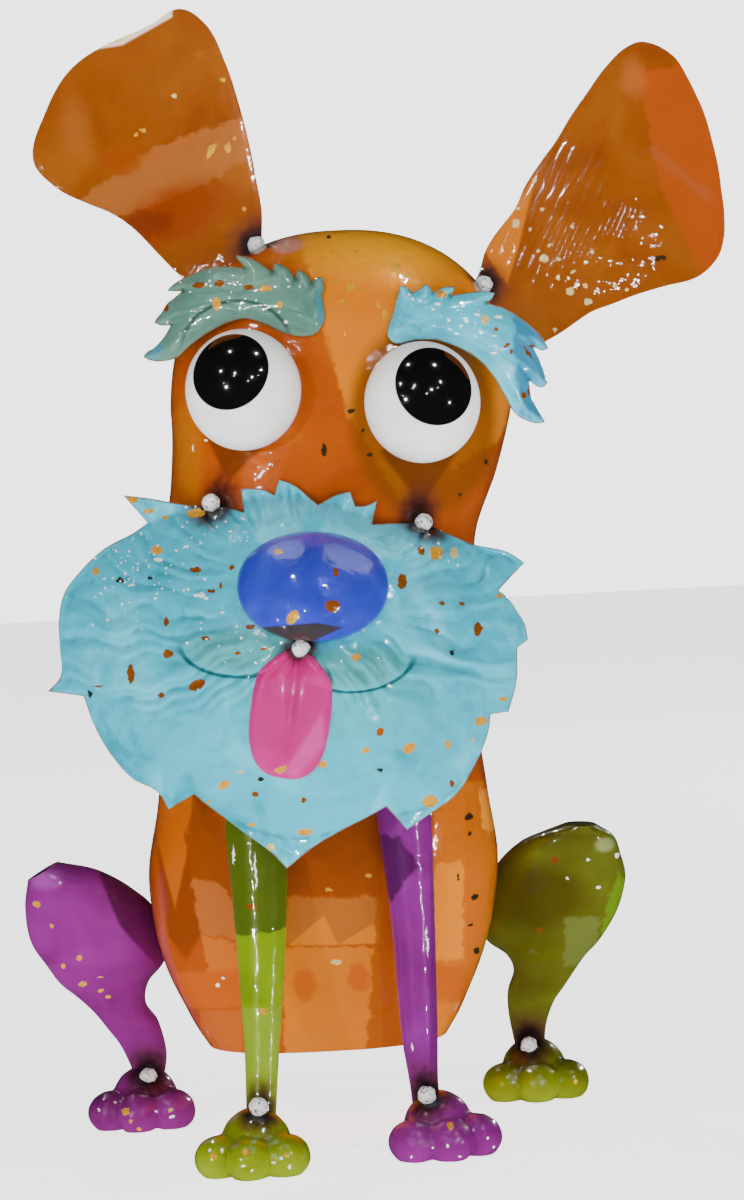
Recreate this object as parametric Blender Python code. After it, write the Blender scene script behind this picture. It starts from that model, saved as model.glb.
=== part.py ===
"""A seated garden dog, welded from pressed and painted sheet steel.

Metres, +Z up. The dog faces -Y, so its own right side is at -X. Its paws stand on Z = 0, and the
origin is the middle of its bounding box on the ground.

The figure's proportions and carving are drawn in units of 1/508 of its height, about a millimetre.
Sheet, gap, weld beads and the ready-made eye pressings have sizes of their own in metres.
"""
import math

import bmesh
import bpy
from mathutils import Matrix, Vector, geometry

# Driving sizes in metres
FIGURE_HEIGHT = 0.508
SHEET = 0.0012
GAP = 0.0003
BEAD_RADIUS = 0.0043
EYE_WIDTH = 0.0505
EYE_HEIGHT = 0.053
EYE_STAND = 0.008

# One unit of the drawing in metres
DRAWN_HEIGHT = 508.0
U = FIGURE_HEIGHT / DRAWN_HEIGHT

# Depths, widths and reliefs of the figure, in units of the drawing
TRUNK_DEPTH = 124.0
BEARD_BULGE = 36.0
NOSE_SIZE = (65.0, 46.0)
NOSE_RISE = 13.0
TONGUE_SIZE = (34.5, 56.0)
TONGUE_RISE = 3.5
LOBE_RISE = 4.0
FLUTE_RISE = 0.9
BROW_RISE = 5.0
EAR_CUP = 9.0
FRONT_LEG_DEPTH = 21.0
THIGH_DEPTH = 34.0
SHIN_DEPTH = 17.0
PAW_WIDTH = 50.0
PAW_LENGTH = 38.0
PAW_HEIGHT = 27.0

# Trunk and head, one shell: heights, then half widths, leans and depths at shares of the height
TRUNK_BASE = 40.0
TRUNK_TOP = 406.0
DOME_SHARE = 0.787
DOME_POWER = 2.3
DOME_CLIMBS = [20, 38, 54, 68, 80]
TRUNK_SHARES = [0.0, 0.03, 0.07, 0.12, 0.17, 0.23, 0.31, 0.40, 0.50, 0.60, 0.68, DOME_SHARE]
TRUNK_SIDES = 28
SECTION_POWER = 2.4
TRUNK_Y = 15.0
HALF_WIDTHS = [(0.0, 54.5), (0.026, 60.5), (0.051, 65.0), (0.082, 70.2), (0.108, 73.6), (0.15, 77.4),
               (0.22, 79.8), (0.30, 75.5), (0.43, 70.0), (0.61, 71.0), (0.70, 74.5), (0.787, 78.0)]
LEANS = [(0.0, -8.4), (0.15, -7.3), (0.30, -5.0), (0.61, -0.7), (0.70, 8.0), (0.787, 13.0), (1.0, 14.0)]
DEPTH_SHARES = [(0.0, 0.70), (0.08, 0.86), (0.22, 1.0), (0.43, 0.90), (0.61, 0.92), (0.787, 0.97)]

# Beard outline about its own centre, clockwise from the upper left tip: angle, radius, 1 at a corner
BEARD_CENTRE = (-9.0, 222.0)
BEARD_OUTLINE = [
    (138, 104, 1), (134, 94, 0), (127, 80, 0), (116, 69, 0), (111, 64, 1), (109, 74, 1), (105, 72, 0),
    (101, 70, 0), (98, 67, 1), (95.5, 73.5, 1), (93, 72, 0), (90, 70, 0), (86, 66, 0), (81, 62, 1),
    (74, 68, 0), (70, 70.5, 1), (66.5, 65, 1), (63, 67, 0), (60, 71, 1), (57.5, 61, 1), (50, 67, 0),
    (42, 75, 0), (36, 79, 0), (28, 86, 0), (21, 99, 0), (17, 104, 1), (12.5, 89, 1), (10, 92, 0),
    (6, 95, 0), (2, 98, 0), (-2, 99, 1), (-4, 94, 1), (-13, 95, 0), (-21, 94.5, 1), (-23, 87, 1),
    (-28, 89, 0), (-39, 91, 0), (-47, 92, 0), (-56, 90, 0), (-63, 90, 1), (-65, 76.5, 1), (-70, 77, 0),
    (-80, 79, 0), (-89, 84, 0), (-97, 94, 1), (-102, 88, 0), (-109, 84, 0), (-117, 81, 0),
    (-125, 79.5, 0), (-129.5, 79, 1), (-132.5, 92, 1), (-138, 90, 0), (-145, 95, 0), (-154, 98, 0),
    (-162, 99.5, 0), (-169.5, 100.5, 1), (-172, 117, 1), (-175, 110, 0), (-182, 109.5, 0),
    (-188, 110.5, 0), (-194, 110, 0), (-200, 105.5, 0), (-208, 98.5, 0), (-216, 90, 0), (-220.5, 87.5, 1)]
# The beard's pillow ends on this smooth egg, inside the tufts: angle, radius
BEARD_EGG = [(-180, 108), (-160, 101), (-140, 91), (-120, 81), (-95, 81), (-70, 79), (-50, 89), (-20, 92),
             (0, 96), (18, 94), (35, 79), (60, 63), (90, 65), (120, 72), (140, 87), (155, 99), (170, 108),
             (180, 108)]
BEARD_TOP = 283.0
BEARD_SWEEP = 12.0
BEARD_SWEEP_AT = 46.0
BEARD_SWEEP_POWER = 1.5
BEARD_FALL = 0.25
FLUTES = 30
MAX_SPOKE_STEP = 6.0
BEARD_RINGS = [0.28, 0.52, 0.72, 0.88, 1.0]

# Nose and tongue places on the beard, and how far each leans
NOSE_PLACE = (-3.0, 249.0)
NOSE_TURN = math.radians(-4.0)
TONGUE_PLACE = (-15.0, 196.0)
TONGUE_TURN = math.radians(-10.0)
NOSE_POWER = 2.1
TONGUE_POWER = 2.7
BOSS_SIDES = 20
BOSS_RINGS = [0.5, 0.86, 1.0]
BOSS_SINK = 2.0
LOBES = [(-36.0, 227.0, 25.0, 14.0), (14.0, 217.0, 23.0, 13.0)]

# Eyes: middle of each ball, seen from the front
EYES = {"eye_right": (-29.3, 334.9), "eye_left": (48.4, 325.4)}
EYE_SIDES = 16
EYE_RINGS = 12

# Eyebrows: outline from the outer end over the tufts and back below, then the raised spine inside
BROWS = {
    "eyebrow_right": (
        [(-74, 354), (-72, 355.5), (-68, 356.5), (-64.5, 360), (-61.5, 366), (-64, 366), (-68, 367),
         (-65.5, 371.5), (-62, 376), (-57, 380.5), (-62.5, 382), (-58.5, 385), (-51, 388.5), (-45, 390),
         (-38, 391), (-28.5, 390.5), (-30, 395), (-24, 393), (-15.5, 387.5), (-12.5, 391), (-9, 389),
         (-5.5, 383.5), (-2.5, 387), (1.5, 383), (7, 383.5), (8, 374), (7.5, 364), (4, 359), (-3, 357),
         (-10, 360), (-20, 365.5), (-32, 366), (-43, 362.5), (-53, 355.5), (-60, 351.5), (-68, 351)],
        [(-63, 356), (-55, 365), (-46, 374), (-34, 379), (-21, 379), (-9, 373), (0, 371)]),
    "eyebrow_left": (
        [(36, 361), (39.5, 369), (42, 377), (47, 375), (52, 377), (55.5, 374.5), (64, 377), (64.5, 373),
         (76, 374), (84, 372.5), (80.5, 369), (89, 364), (94, 361), (99, 357), (104, 351.5), (106, 345),
         (100, 347.5), (103, 341), (105, 330), (96.5, 332), (99, 325), (103, 315), (98, 313), (93, 315.5),
         (88, 319.5), (84.5, 327), (80, 337), (72, 346), (63, 350), (52, 351.5), (38.5, 352)],
        [(46, 364), (58, 363), (70, 359), (81, 352), (89, 343), (92, 332), (94, 323)]),
}
FILL_EPSILON = 0.0001
BROW_SWEEP = 19.2
BROW_SWEEP_AT = 80.0
BROW_TILT = 0.35

# Ears: centre of the outline, angle and radius round it, and the depth the plate stands at
EARS = {
    "ear_right": ((-70.0, 440.0), [
        (74, 70.5), (63, 68), (48, 58), (30, 50.5), (10, 48), (-10, 50.5), (-25, 57), (-36, 63), (-50, 74),
        (-64, 76), (-76, 52), (-89, 37), (-105, 29), (-128, 27), (-150, 32), (-169, 42), (-184, 50),
        (-210, 50), (-235, 53.5), (-263, 57), (-276, 62)]),
    "ear_left": ((140.0, 420.0), [
        (75, 65), (62, 63.5), (51, 58), (41, 54), (20, 49), (-4, 49), (-20, 53), (-29, 56), (-38, 58),
        (-50, 57), (-65, 52), (-80, 51), (-94, 54.5), (-104, 60), (-114, 74), (-124, 91), (-131, 98),
        (-144, 86), (-149, 73), (-155, 65), (-167, 47), (-180, 40), (-199, 34), (-221, 32), (-242, 36),
        (-258, 43), (-270, 53), (-278, 61)]),
}
EAR_Y = 8.0
EAR_CUP_MIDDLE = 0.4
EAR_SPOKES = 36
EAR_RINGS = [0.5, 0.82, 1.0]

# Front legs: height, middle across and half width from the chest down to the ankle, then the foot's Y
LEG_STAND = 8.0
FRONT_LEGS = {
    "front_leg_right": ([(178, -32, 14), (144, -34, 13), (124, -33.5, 12.5), (95, -33.7, 10.8),
                         (67, -34.7, 8.8), (46, -35.7, 7.3), (18, -37.4, 6.2)], -84.0),
    "front_leg_left": ([(178, 30, 13), (145, 31, 12), (100, 32.5, 9.6), (50, 32.8, 7.8), (30, 33.6, 6.2),
                        (18, 34.5, 6.2)], -66.0),
}

# Rear legs: left and right edge of each section across the leg, from the thigh's top to the ankle
REAR_LEGS = {
    "rear_leg_right": ([
        ((-141, 119), (-127, 126.5)), ((-143, 108), (-112, 123)), ((-143, 98), (-102, 118)),
        ((-141, 88), (-94, 112)), ((-136, 79), (-86, 104)), ((-130, 69), (-81, 92)),
        ((-123, 62), (-82, 77)), ((-116, 54), (-90, 67)), ((-110, 45), (-92, 57)),
        ((-105, 37), (-87, 48)), ((-101, 27), (-84, 33)), ((-98, 17), (-86, 20))], 12.0, 40.0),
    "rear_leg_left": ([
        ((104, 130.5), (119, 130)), ((93, 127), (127, 124)), ((84, 123), (130, 115)),
        ((74, 114), (132, 105)), ((67, 101), (130, 94)), ((66, 86), (126, 84)), ((67, 76), (119, 73)),
        ((76, 68), (112, 65)), ((79, 60), (103, 52)), ((76, 50), (97, 43)), ((76, 38), (93, 31)),
        ((79, 19), (92, 16))], 24.0, 63.0),
}
LEG_COLOURS = {"front_leg_right": "green_enamel", "front_leg_left": "purple_enamel",
               "rear_leg_right": "purple_enamel", "rear_leg_left": "green_enamel"}
LIMB_SIDES = 12
LIMB_POWER = 1.7
LEAST_FULLNESS = 0.72

# Paws: place of the ankle on the ground and the way the toes point, in degrees from straight ahead
PAWS = {
    "paw_front_right": (-40.0, -84.0, -8.0),
    "paw_front_left": (39.0, -66.0, 15.0),
    "paw_rear_right": (-95.0, 40.0, -8.0),
    "paw_rear_left": (86.5, 63.0, 2.0),
}
TOE_FAN = math.radians(52.0)
# Half sizes of a toe and of the ankle dome as shares of the paw's width, length and height
TOE_SHARES = (0.20, 0.33, 0.36)
DOME_SHARES = (0.31, 0.40, 0.62)
DOME_SIDES = 10
TOE_TUCK = 0.25
TOE_LIFT = 0.75

# Weld beads: place, and the pieces that each one joins; with no Y, a bead sits on its first piece
BEAD_SEAT = 0.3
BEAD_CLEAR = 4.0
BEAD_SIDES = 8
BEAD_RINGS = 6
BEADS = {
    "weld_ear_right": ((-21.5, None, 400.5), ("ear_right",)),
    "weld_ear_left": ((79.5, None, 377.5), ("ear_left",)),
    "weld_beard_right": ((-46.4, None, 286.4), ("beard",)),
    "weld_beard_left": ((46.4, None, 272.8), ("beard",)),
    "weld_tongue": ((-9.2, None, 223.3), ("beard", "nose", "tongue")),
    "weld_paw_front_right": ((-37.6, -91.5, 28.5), ("front_leg_right", "paw_front_right")),
    "weld_paw_front_left": ((34.5, -73.0, 26.3), ("front_leg_left", "paw_front_left")),
    "weld_paw_rear_right": ((-92.5, 32.0, 23.0), ("rear_leg_right", "paw_rear_right")),
    "weld_paw_rear_left": ((84.5, 55.0, 24.3), ("rear_leg_left", "paw_rear_left")),
}

SHARP_ANGLE = math.radians(40.0)

# Finishes: colour, metallic, roughness
FINISHES = {
    "orange_enamel": ((0.72, 0.27, 0.02), 0.2, 0.25),
    "ear_enamel": ((0.55, 0.20, 0.03), 0.2, 0.25),
    "turquoise_enamel": ((0.20, 0.50, 0.56), 0.1, 0.25),
    "violet_blue_enamel": ((0.08, 0.10, 0.50), 0.1, 0.25),
    "pink_enamel": ((0.70, 0.12, 0.35), 0.1, 0.25),
    "green_enamel": ((0.28, 0.34, 0.03), 0.2, 0.25),
    "purple_enamel": ((0.27, 0.05, 0.25), 0.2, 0.25),
    "eye_enamel": ((0.85, 0.84, 0.80), 0.0, 0.3),
    "weld_steel": ((0.70, 0.70, 0.68), 1.0, 0.35),
}


def clear_scene():
    """Remove every object the file starts with."""
    for old in list(bpy.data.objects):
        bpy.data.objects.remove(old, do_unlink=True)


def spline(points, x):
    """Value at x of the smooth curve through (x, value) points, flat beyond its ends."""
    if x <= points[0][0]:
        return points[0][1]
    if x >= points[-1][0]:
        return points[-1][1]
    i = max(k for k in range(len(points) - 1) if points[k][0] <= x)
    before, a = points[max(i - 1, 0)], points[i]
    b, after = points[i + 1], points[min(i + 2, len(points) - 1)]
    span = b[0] - a[0]
    slope_a = (b[1] - before[1]) / (b[0] - before[0])
    slope_b = (after[1] - a[1]) / (after[0] - a[0])
    t = (x - a[0]) / span
    return ((2 * t ** 3 - 3 * t ** 2 + 1) * a[1] + (t ** 3 - 2 * t ** 2 + t) * span * slope_a
            + (3 * t ** 2 - 2 * t ** 3) * b[1] + (t ** 3 - t ** 2) * span * slope_b)


def power(value, exponent):
    """Power of a value's size, with its sign kept."""
    return math.copysign(abs(value) ** exponent, value)


# Shape of the trunk and head

def trunk_share(z):
    """Share of the trunk's height at z, 0 at its base and 1 at its top."""
    return min(max((z - TRUNK_BASE) / (TRUNK_TOP - TRUNK_BASE), 0.0), 1.0)


def dome(share):
    """How much of its full width the head keeps in the dome."""
    if share <= DOME_SHARE:
        return 1.0
    rise = (share - DOME_SHARE) / (1.0 - DOME_SHARE)
    return max(1.0 - rise ** DOME_POWER, 0.0) ** (1.0 / DOME_POWER)


def trunk_section(z):
    """Middle across, half width and half depth of the trunk at z, in units."""
    share = trunk_share(z)
    half_depth = 0.5 * TRUNK_DEPTH * spline(DEPTH_SHARES, share) * dome(share)
    return spline(LEANS, share), spline(HALF_WIDTHS, share) * dome(share), half_depth


def trunk_front(x, z):
    """Y of the trunk's front surface at x and z, or None beside the trunk."""
    middle, half_width, half_depth = trunk_section(z)
    if half_width <= 0.0:
        return None
    across = abs(x - middle) / half_width
    if across >= 1.0 or not TRUNK_BASE <= z <= TRUNK_TOP:
        return None
    return TRUNK_Y - half_depth * (1.0 - across ** SECTION_POWER) ** (1.0 / SECTION_POWER)


def settle(sheet_y, places):
    """Shift in Y that brings a sheet's back up to the trunk, leaving the gap, in units."""
    room = [trunk_front(x, z) - sheet_y(x, z) for x, z in places if trunk_front(x, z) is not None]
    return min(room) - (SHEET + GAP) / U


# Shape of the beard

def beard_rim(x, z):
    """Y of the beard's edge surface before it is settled on the head."""
    sweep = BEARD_SWEEP * (abs(x) / BEARD_SWEEP_AT) ** BEARD_SWEEP_POWER
    return sweep - BEARD_FALL * (BEARD_TOP - z)


def lobe(x, z):
    """Height of the two moustache lobes at x and z, in units."""
    rise = 0.0
    for middle_x, middle_z, half_x, half_z in LOBES:
        far = ((x - middle_x) / half_x) ** 2 + ((z - middle_z) / half_z) ** 2
        rise = max(rise, (1.0 - far) ** 0.5 if far < 1.0 else 0.0)
    return rise * LOBE_RISE


def beard_y(x, z, fluted=False):
    """Y of the beard's front surface, before it is settled on the head."""
    dx, dz = x - BEARD_CENTRE[0], z - BEARD_CENTRE[1]
    angle = math.degrees(math.atan2(dz, dx))
    reach = math.hypot(dx, dz) / spline(BEARD_EGG, angle)
    pillow = BEARD_BULGE * max(1.0 - reach ** 2, 0.0)
    rise = pillow + lobe(x, z)
    if fluted:
        rise += FLUTE_RISE * min(reach, 1.0) ** 2 * math.cos(math.radians(FLUTES * angle))
    return beard_rim(x, z) - rise


def beard_edge():
    """The beard's outline with its tufts, as (x, z) points round its centre."""
    corners = [k for k, point in enumerate(BEARD_OUTLINE) if point[2]]
    edge = []
    for start, stop in zip(corners, corners[1:] + [len(BEARD_OUTLINE)]):
        run = [BEARD_OUTLINE[k] for k in range(start, stop)]
        first = BEARD_OUTLINE[0]
        run.append(BEARD_OUTLINE[stop] if stop < len(BEARD_OUTLINE) else (first[0] - 360, first[1], 1))
        flank = [(-angle, radius) for angle, radius, _ in run]
        for (a, _), (b, _) in zip(flank, flank[1:]):
            steps = math.ceil((b - a) / MAX_SPOKE_STEP)
            for step in range(steps):
                turn = a + (b - a) * step / steps
                edge.append((-turn, spline(flank, turn)))
    return [polar(BEARD_CENTRE, angle, radius) for angle, radius in edge]


def polar(centre, degrees, radius):
    """The (x, z) point at an angle and radius from a centre."""
    turn = math.radians(degrees)
    return centre[0] + radius * math.cos(turn), centre[1] + radius * math.sin(turn)


# Mesh making

def new_piece(name, collection, finish, origin, verts, faces):
    """Object whose mesh is given in units round the dog's own middle, with its origin where told."""
    mesh = bpy.data.meshes.new(name)
    shift = Vector(origin)
    mesh.from_pydata([(Vector(v) - shift) * U for v in verts], [], faces)
    tidy = bmesh.new()
    tidy.from_mesh(mesh)
    bmesh.ops.recalc_face_normals(tidy, faces=tidy.faces)
    tidy.to_mesh(mesh)
    tidy.free()
    piece = bpy.data.objects.new(name, mesh)
    collection.objects.link(piece)
    piece.location = shift * U
    if finish:
        mesh.materials.append(finish)
    bpy.context.view_layer.update()
    return piece


def loft(rings):
    """Vertices and faces of a closed body through rings of equally many points."""
    count = len(rings[0])
    verts = [point for ring in rings for point in ring]
    faces = []
    for level in range(len(rings) - 1):
        for k in range(count):
            a, b = level * count + k, level * count + (k + 1) % count
            faces.append((a, b, b + count, a + count))
    for ring, start in ((rings[0], 0), (rings[-1], count * (len(rings) - 1))):
        hub = len(verts)
        verts.append(tuple(sum(point[axis] for point in ring) / count for axis in range(3)))
        faces.extend((start + k, start + (k + 1) % count, hub) for k in range(count))
    return verts, faces


def dish(edge, centre, rings, front, back):
    """Vertices and faces of a sheet that fills an outline round its centre.

    edge holds (x, z) points, rings the shares of the way out, front and back give Y at (x, z).
    """
    count = len(edge)
    verts, faces = [], []
    for side in (front, back):
        start = len(verts)
        verts.append((centre[0], side(*centre), centre[1]))
        for share in rings:
            for x, z in edge:
                px = centre[0] + (x - centre[0]) * share
                pz = centre[1] + (z - centre[1]) * share
                verts.append((px, side(px, pz), pz))
        for k in range(count):
            after = (k + 1) % count
            faces.append((start, start + 1 + k, start + 1 + after))
            for level in range(len(rings) - 1):
                inner = start + 1 + level * count
                outer = inner + count
                faces.append((inner + k, outer + k, outer + after))
                faces.append((inner + k, outer + after, inner + after))
    rim_front = 1 + (len(rings) - 1) * count
    rim_back = rim_front + 1 + len(rings) * count
    for k in range(count):
        after = (k + 1) % count
        faces.append((rim_front + k, rim_front + after, rim_back + after, rim_back + k))
    return verts, faces


def filled(outline, inner, front, back):
    """Vertices and faces of a sheet inside any outline, with a few points of its own inside.

    front and back give Y at (x, z) and at whether the point is an inner one.
    """
    count = len(outline)
    flat = [Vector(point) for point in outline + inner]
    edges = [(k, (k + 1) % count) for k in range(count)]
    spots, _, triangles = geometry.delaunay_2d_cdt(flat, edges, [], 1, FILL_EPSILON)[:3]
    verts = []
    for side in (front, back):
        verts += [(spot.x, side(spot.x, spot.y, k >= count), spot.y) for k, spot in enumerate(spots)]
    total = len(spots)
    faces = [tuple(triangle) for triangle in triangles]
    faces += [tuple(k + total for k in reversed(triangle)) for triangle in triangles]
    faces += [(a, b, b + total, a + total) for a, b in edges]
    return verts, faces


def ball(name, collection, finish, place, radii, sides, rings):
    """Ellipsoid at a place in units, with its radii in metres."""
    mesh = bpy.data.meshes.new(name)
    shape = bmesh.new()
    stretch = Matrix.Diagonal((*radii, 1.0))
    bmesh.ops.create_uvsphere(shape, u_segments=sides, v_segments=rings, radius=1.0, matrix=stretch)
    shape.to_mesh(mesh)
    shape.free()
    piece = bpy.data.objects.new(name, mesh)
    collection.objects.link(piece)
    piece.location = Vector(place) * U
    if finish:
        mesh.materials.append(finish)
    bpy.context.view_layer.update()
    return piece


def combine(piece, other, operation):
    """Apply a Boolean with another object to a piece's mesh."""
    change = piece.modifiers.new("combine", "BOOLEAN")
    change.operation = operation
    change.solver = "EXACT"
    change.object = other
    bpy.context.view_layer.update()
    graph = bpy.context.evaluated_depsgraph_get()
    shape = bpy.data.meshes.new_from_object(piece.evaluated_get(graph))
    piece.modifiers.clear()
    piece.data = shape


def make_cutter(source, cutters):
    """Copy of a piece grown by the gap, hidden, for cutting its neighbours clear of it."""
    mesh = source.data.copy()
    shape = bmesh.new()
    shape.from_mesh(mesh)
    bmesh.ops.triangulate(shape, faces=shape.faces)
    shape.normal_update()
    grown = [vert.co + vert.normal * GAP * vert.calc_shell_factor() for vert in shape.verts]
    for vert, place in zip(shape.verts, grown):
        vert.co = place
    shape.to_mesh(mesh)
    shape.free()
    cutter = bpy.data.objects.new(source.name + "_cutter", mesh)
    cutters.objects.link(cutter)
    cutter.matrix_world = source.matrix_world.copy()
    hide_cutter(cutter)
    return cutter


def hide_cutter(cutter):
    """Show a cutter as wire only and leave it out of renders."""
    cutter.hide_render = True
    cutter.display_type = "WIRE"
    bpy.context.view_layer.update()


# Pieces

def make_trunk(parts, finish):
    """Trunk and head: rings up to the dome, closed above and below."""
    shares = TRUNK_SHARES + [DOME_SHARE + (1.0 - DOME_SHARE) * math.sin(math.radians(climb))
                             for climb in DOME_CLIMBS]
    rings = []
    for share in shares:
        z = TRUNK_BASE + share * (TRUNK_TOP - TRUNK_BASE)
        middle, half_width, half_depth = trunk_section(z)
        ring = []
        for k in range(TRUNK_SIDES):
            turn = 2 * math.pi * k / TRUNK_SIDES
            ring.append((middle + half_width * power(math.cos(turn), 2 / SECTION_POWER),
                         TRUNK_Y + half_depth * power(math.sin(turn), 2 / SECTION_POWER), z))
        rings.append(ring)
    return new_piece("body", parts, finish, (0, TRUNK_Y, TRUNK_BASE), *loft(rings))


def make_beard(parts, cutters, finish):
    """Pressed beard sheet, and a deep copy of it that cuts what lies on its front."""
    edge = beard_edge()
    places = []
    for share in BEARD_RINGS:
        places += [(BEARD_CENTRE[0] + (x - BEARD_CENTRE[0]) * share,
                    BEARD_CENTRE[1] + (z - BEARD_CENTRE[1]) * share) for x, z in edge]
    shift = settle(beard_y, places)

    def front(x, z):
        return beard_y(x, z, fluted=True) + shift

    def back(x, z):
        return beard_y(x, z) + shift + SHEET / U

    origin = (BEARD_CENTRE[0], front(*BEARD_CENTRE), BEARD_CENTRE[1])
    beard = new_piece("beard", parts, finish, origin, *dish(edge, BEARD_CENTRE, BEARD_RINGS, front, back))
    deep = new_piece("beard_front_cutter", cutters, None, origin, *dish(
        edge, BEARD_CENTRE, BEARD_RINGS, lambda x, z: front(x, z) - GAP / U,
        lambda x, z: front(x, z) + BEARD_BULGE))
    hide_cutter(deep)
    return beard, deep, front


def make_boss(name, parts, finish, place, turn, size, rise, round_power, front, sides):
    """Pressed dome on the beard's front: the nose or the tongue, cut to the beard afterwards."""
    edge = []
    for k in range(sides):
        angle = 2 * math.pi * k / sides
        across = 0.5 * size[0] * power(math.cos(angle), 2 / round_power)
        upward = 0.5 * size[1] * power(math.sin(angle), 2 / round_power)
        edge.append((place[0] + across * math.cos(turn) - upward * math.sin(turn),
                     place[1] + across * math.sin(turn) + upward * math.cos(turn)))

    def level(x, z):
        dx, dz = x - place[0], z - place[1]
        across = (dx * math.cos(turn) + dz * math.sin(turn)) / (0.5 * size[0])
        upward = (dz * math.cos(turn) - dx * math.sin(turn)) / (0.5 * size[1])
        far = (abs(across) ** round_power + abs(upward) ** round_power) ** (1.0 / round_power)
        return max(1.0 - far ** 2, 0.0) ** 0.5

    def top(x, z):
        return front(x, z) - SHEET / U - rise * level(x, z)

    def bottom(x, z):
        return front(x, z) + BOSS_SINK * SHEET / U

    origin = (place[0], front(*place), place[1])
    return new_piece(name, parts, finish, origin, *dish(edge, place, BOSS_RINGS, top, bottom))


def make_ear(name, parts, cutters, finish):
    """Flat pressed ear, cupped towards the front, whose foot runs into the head."""
    centre, outline = EARS[name]
    turned = [(-angle, radius) for angle, radius in outline]
    first, last = turned[0], turned[-1]
    looped = [(last[0] - 360, last[1])] + turned + [(first[0] + 360, first[1])]
    edge = []
    for k in range(EAR_SPOKES):
        angle = first[0] + 360.0 * k / EAR_SPOKES
        edge.append(polar(centre, -angle, spline(looped, angle)))
    widest = max(radius for _, radius in outline)

    def front(x, z):
        reach = math.hypot(x - centre[0], z - centre[1]) / widest
        return EAR_Y - SHEET / U + EAR_CUP * (EAR_CUP_MIDDLE - reach ** 2)

    def back(x, z):
        return front(x, z) + SHEET / U

    origin = (centre[0], EAR_Y, centre[1])
    ear = new_piece(name, parts, finish, origin, *dish(edge, centre, EAR_RINGS, front, back))
    deep = new_piece(name + "_front_cutter", cutters, None, origin, *dish(
        edge, centre, EAR_RINGS, lambda x, z: front(x, z) - GAP / U,
        lambda x, z: front(x, z) + BEAD_CLEAR * BEAD_RADIUS / U))
    hide_cutter(deep)
    return ear, deep, front


def make_brow(name, parts, finish):
    """Pressed eyebrow with a tufted upper edge, bent to lie on the head."""
    outline, spine = BROWS[name]
    head = spline(LEANS, 1.0)

    def rest(x, z):
        return BROW_SWEEP * ((x - head) / BROW_SWEEP_AT) ** 2 + BROW_TILT * z

    shift = settle(rest, outline + spine)

    def front(x, z, inner):
        return rest(x, z) + shift - (BROW_RISE if inner else 0.0)

    def back(x, z, inner):
        return front(x, z, inner) + SHEET / U

    middle = spine[len(spine) // 2]
    origin = (middle[0], rest(*middle) + shift, middle[1])
    return new_piece(name, parts, finish, origin, *filled(outline, spine, front, back))


def limb_ring(left, right, y, half_depth):
    """Section of a limb between its left and right edge."""
    middle = ((left[0] + right[0]) / 2, (left[1] + right[1]) / 2)
    half = ((right[0] - left[0]) / 2, (right[1] - left[1]) / 2)
    ring = []
    for k in range(LIMB_SIDES):
        turn = 2 * math.pi * k / LIMB_SIDES
        across = power(math.cos(turn), 2 / LIMB_POWER)
        ring.append((middle[0] + half[0] * across,
                     y + half_depth * power(math.sin(turn), 2 / LIMB_POWER),
                     middle[1] + half[1] * across))
    return ring


def make_front_leg(name, parts, finish):
    """Tapered tube of folded sheet from the chest to the ankle."""
    stations, foot_y = FRONT_LEGS[name]
    top_z, top_x, widest = stations[0]
    foot_z = stations[-1][0]
    top_y = trunk_front(top_x, top_z) - LEG_STAND
    rings = []
    for z, middle, half_width in stations:
        share = (top_z - z) / (top_z - foot_z)
        half_depth = 0.5 * FRONT_LEG_DEPTH * half_width / widest
        y = top_y + (foot_y - top_y) * share
        rings.append(limb_ring((middle - half_width, z), (middle + half_width, z), y, half_depth))
    foot = (stations[-1][1], foot_y, foot_z)
    return new_piece(name, parts, finish, foot, *loft(rings))


def make_rear_leg(name, parts, finish):
    """Folded thigh and shin, one tube that narrows to the ankle."""
    sections, thigh_y, ankle_y = REAR_LEGS[name]
    widest = max(math.dist(left, right) for left, right in sections)
    last = len(sections) - 1
    rings = []
    for k, (left, right) in enumerate(sections):
        share = k / last
        ease = share * share * (3 - 2 * share)
        fullness = math.dist(left, right) / widest
        depth = (THIGH_DEPTH * (1 - ease) + SHIN_DEPTH * ease) * max(fullness ** 0.5, LEAST_FULLNESS)
        rings.append(limb_ring(left, right, thigh_y + (ankle_y - thigh_y) * ease, 0.5 * depth))
    foot = sections[-1]
    origin = ((foot[0][0] + foot[1][0]) / 2, ankle_y, (foot[0][1] + foot[1][1]) / 2)
    return new_piece(name, parts, finish, origin, *loft(rings))


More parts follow.
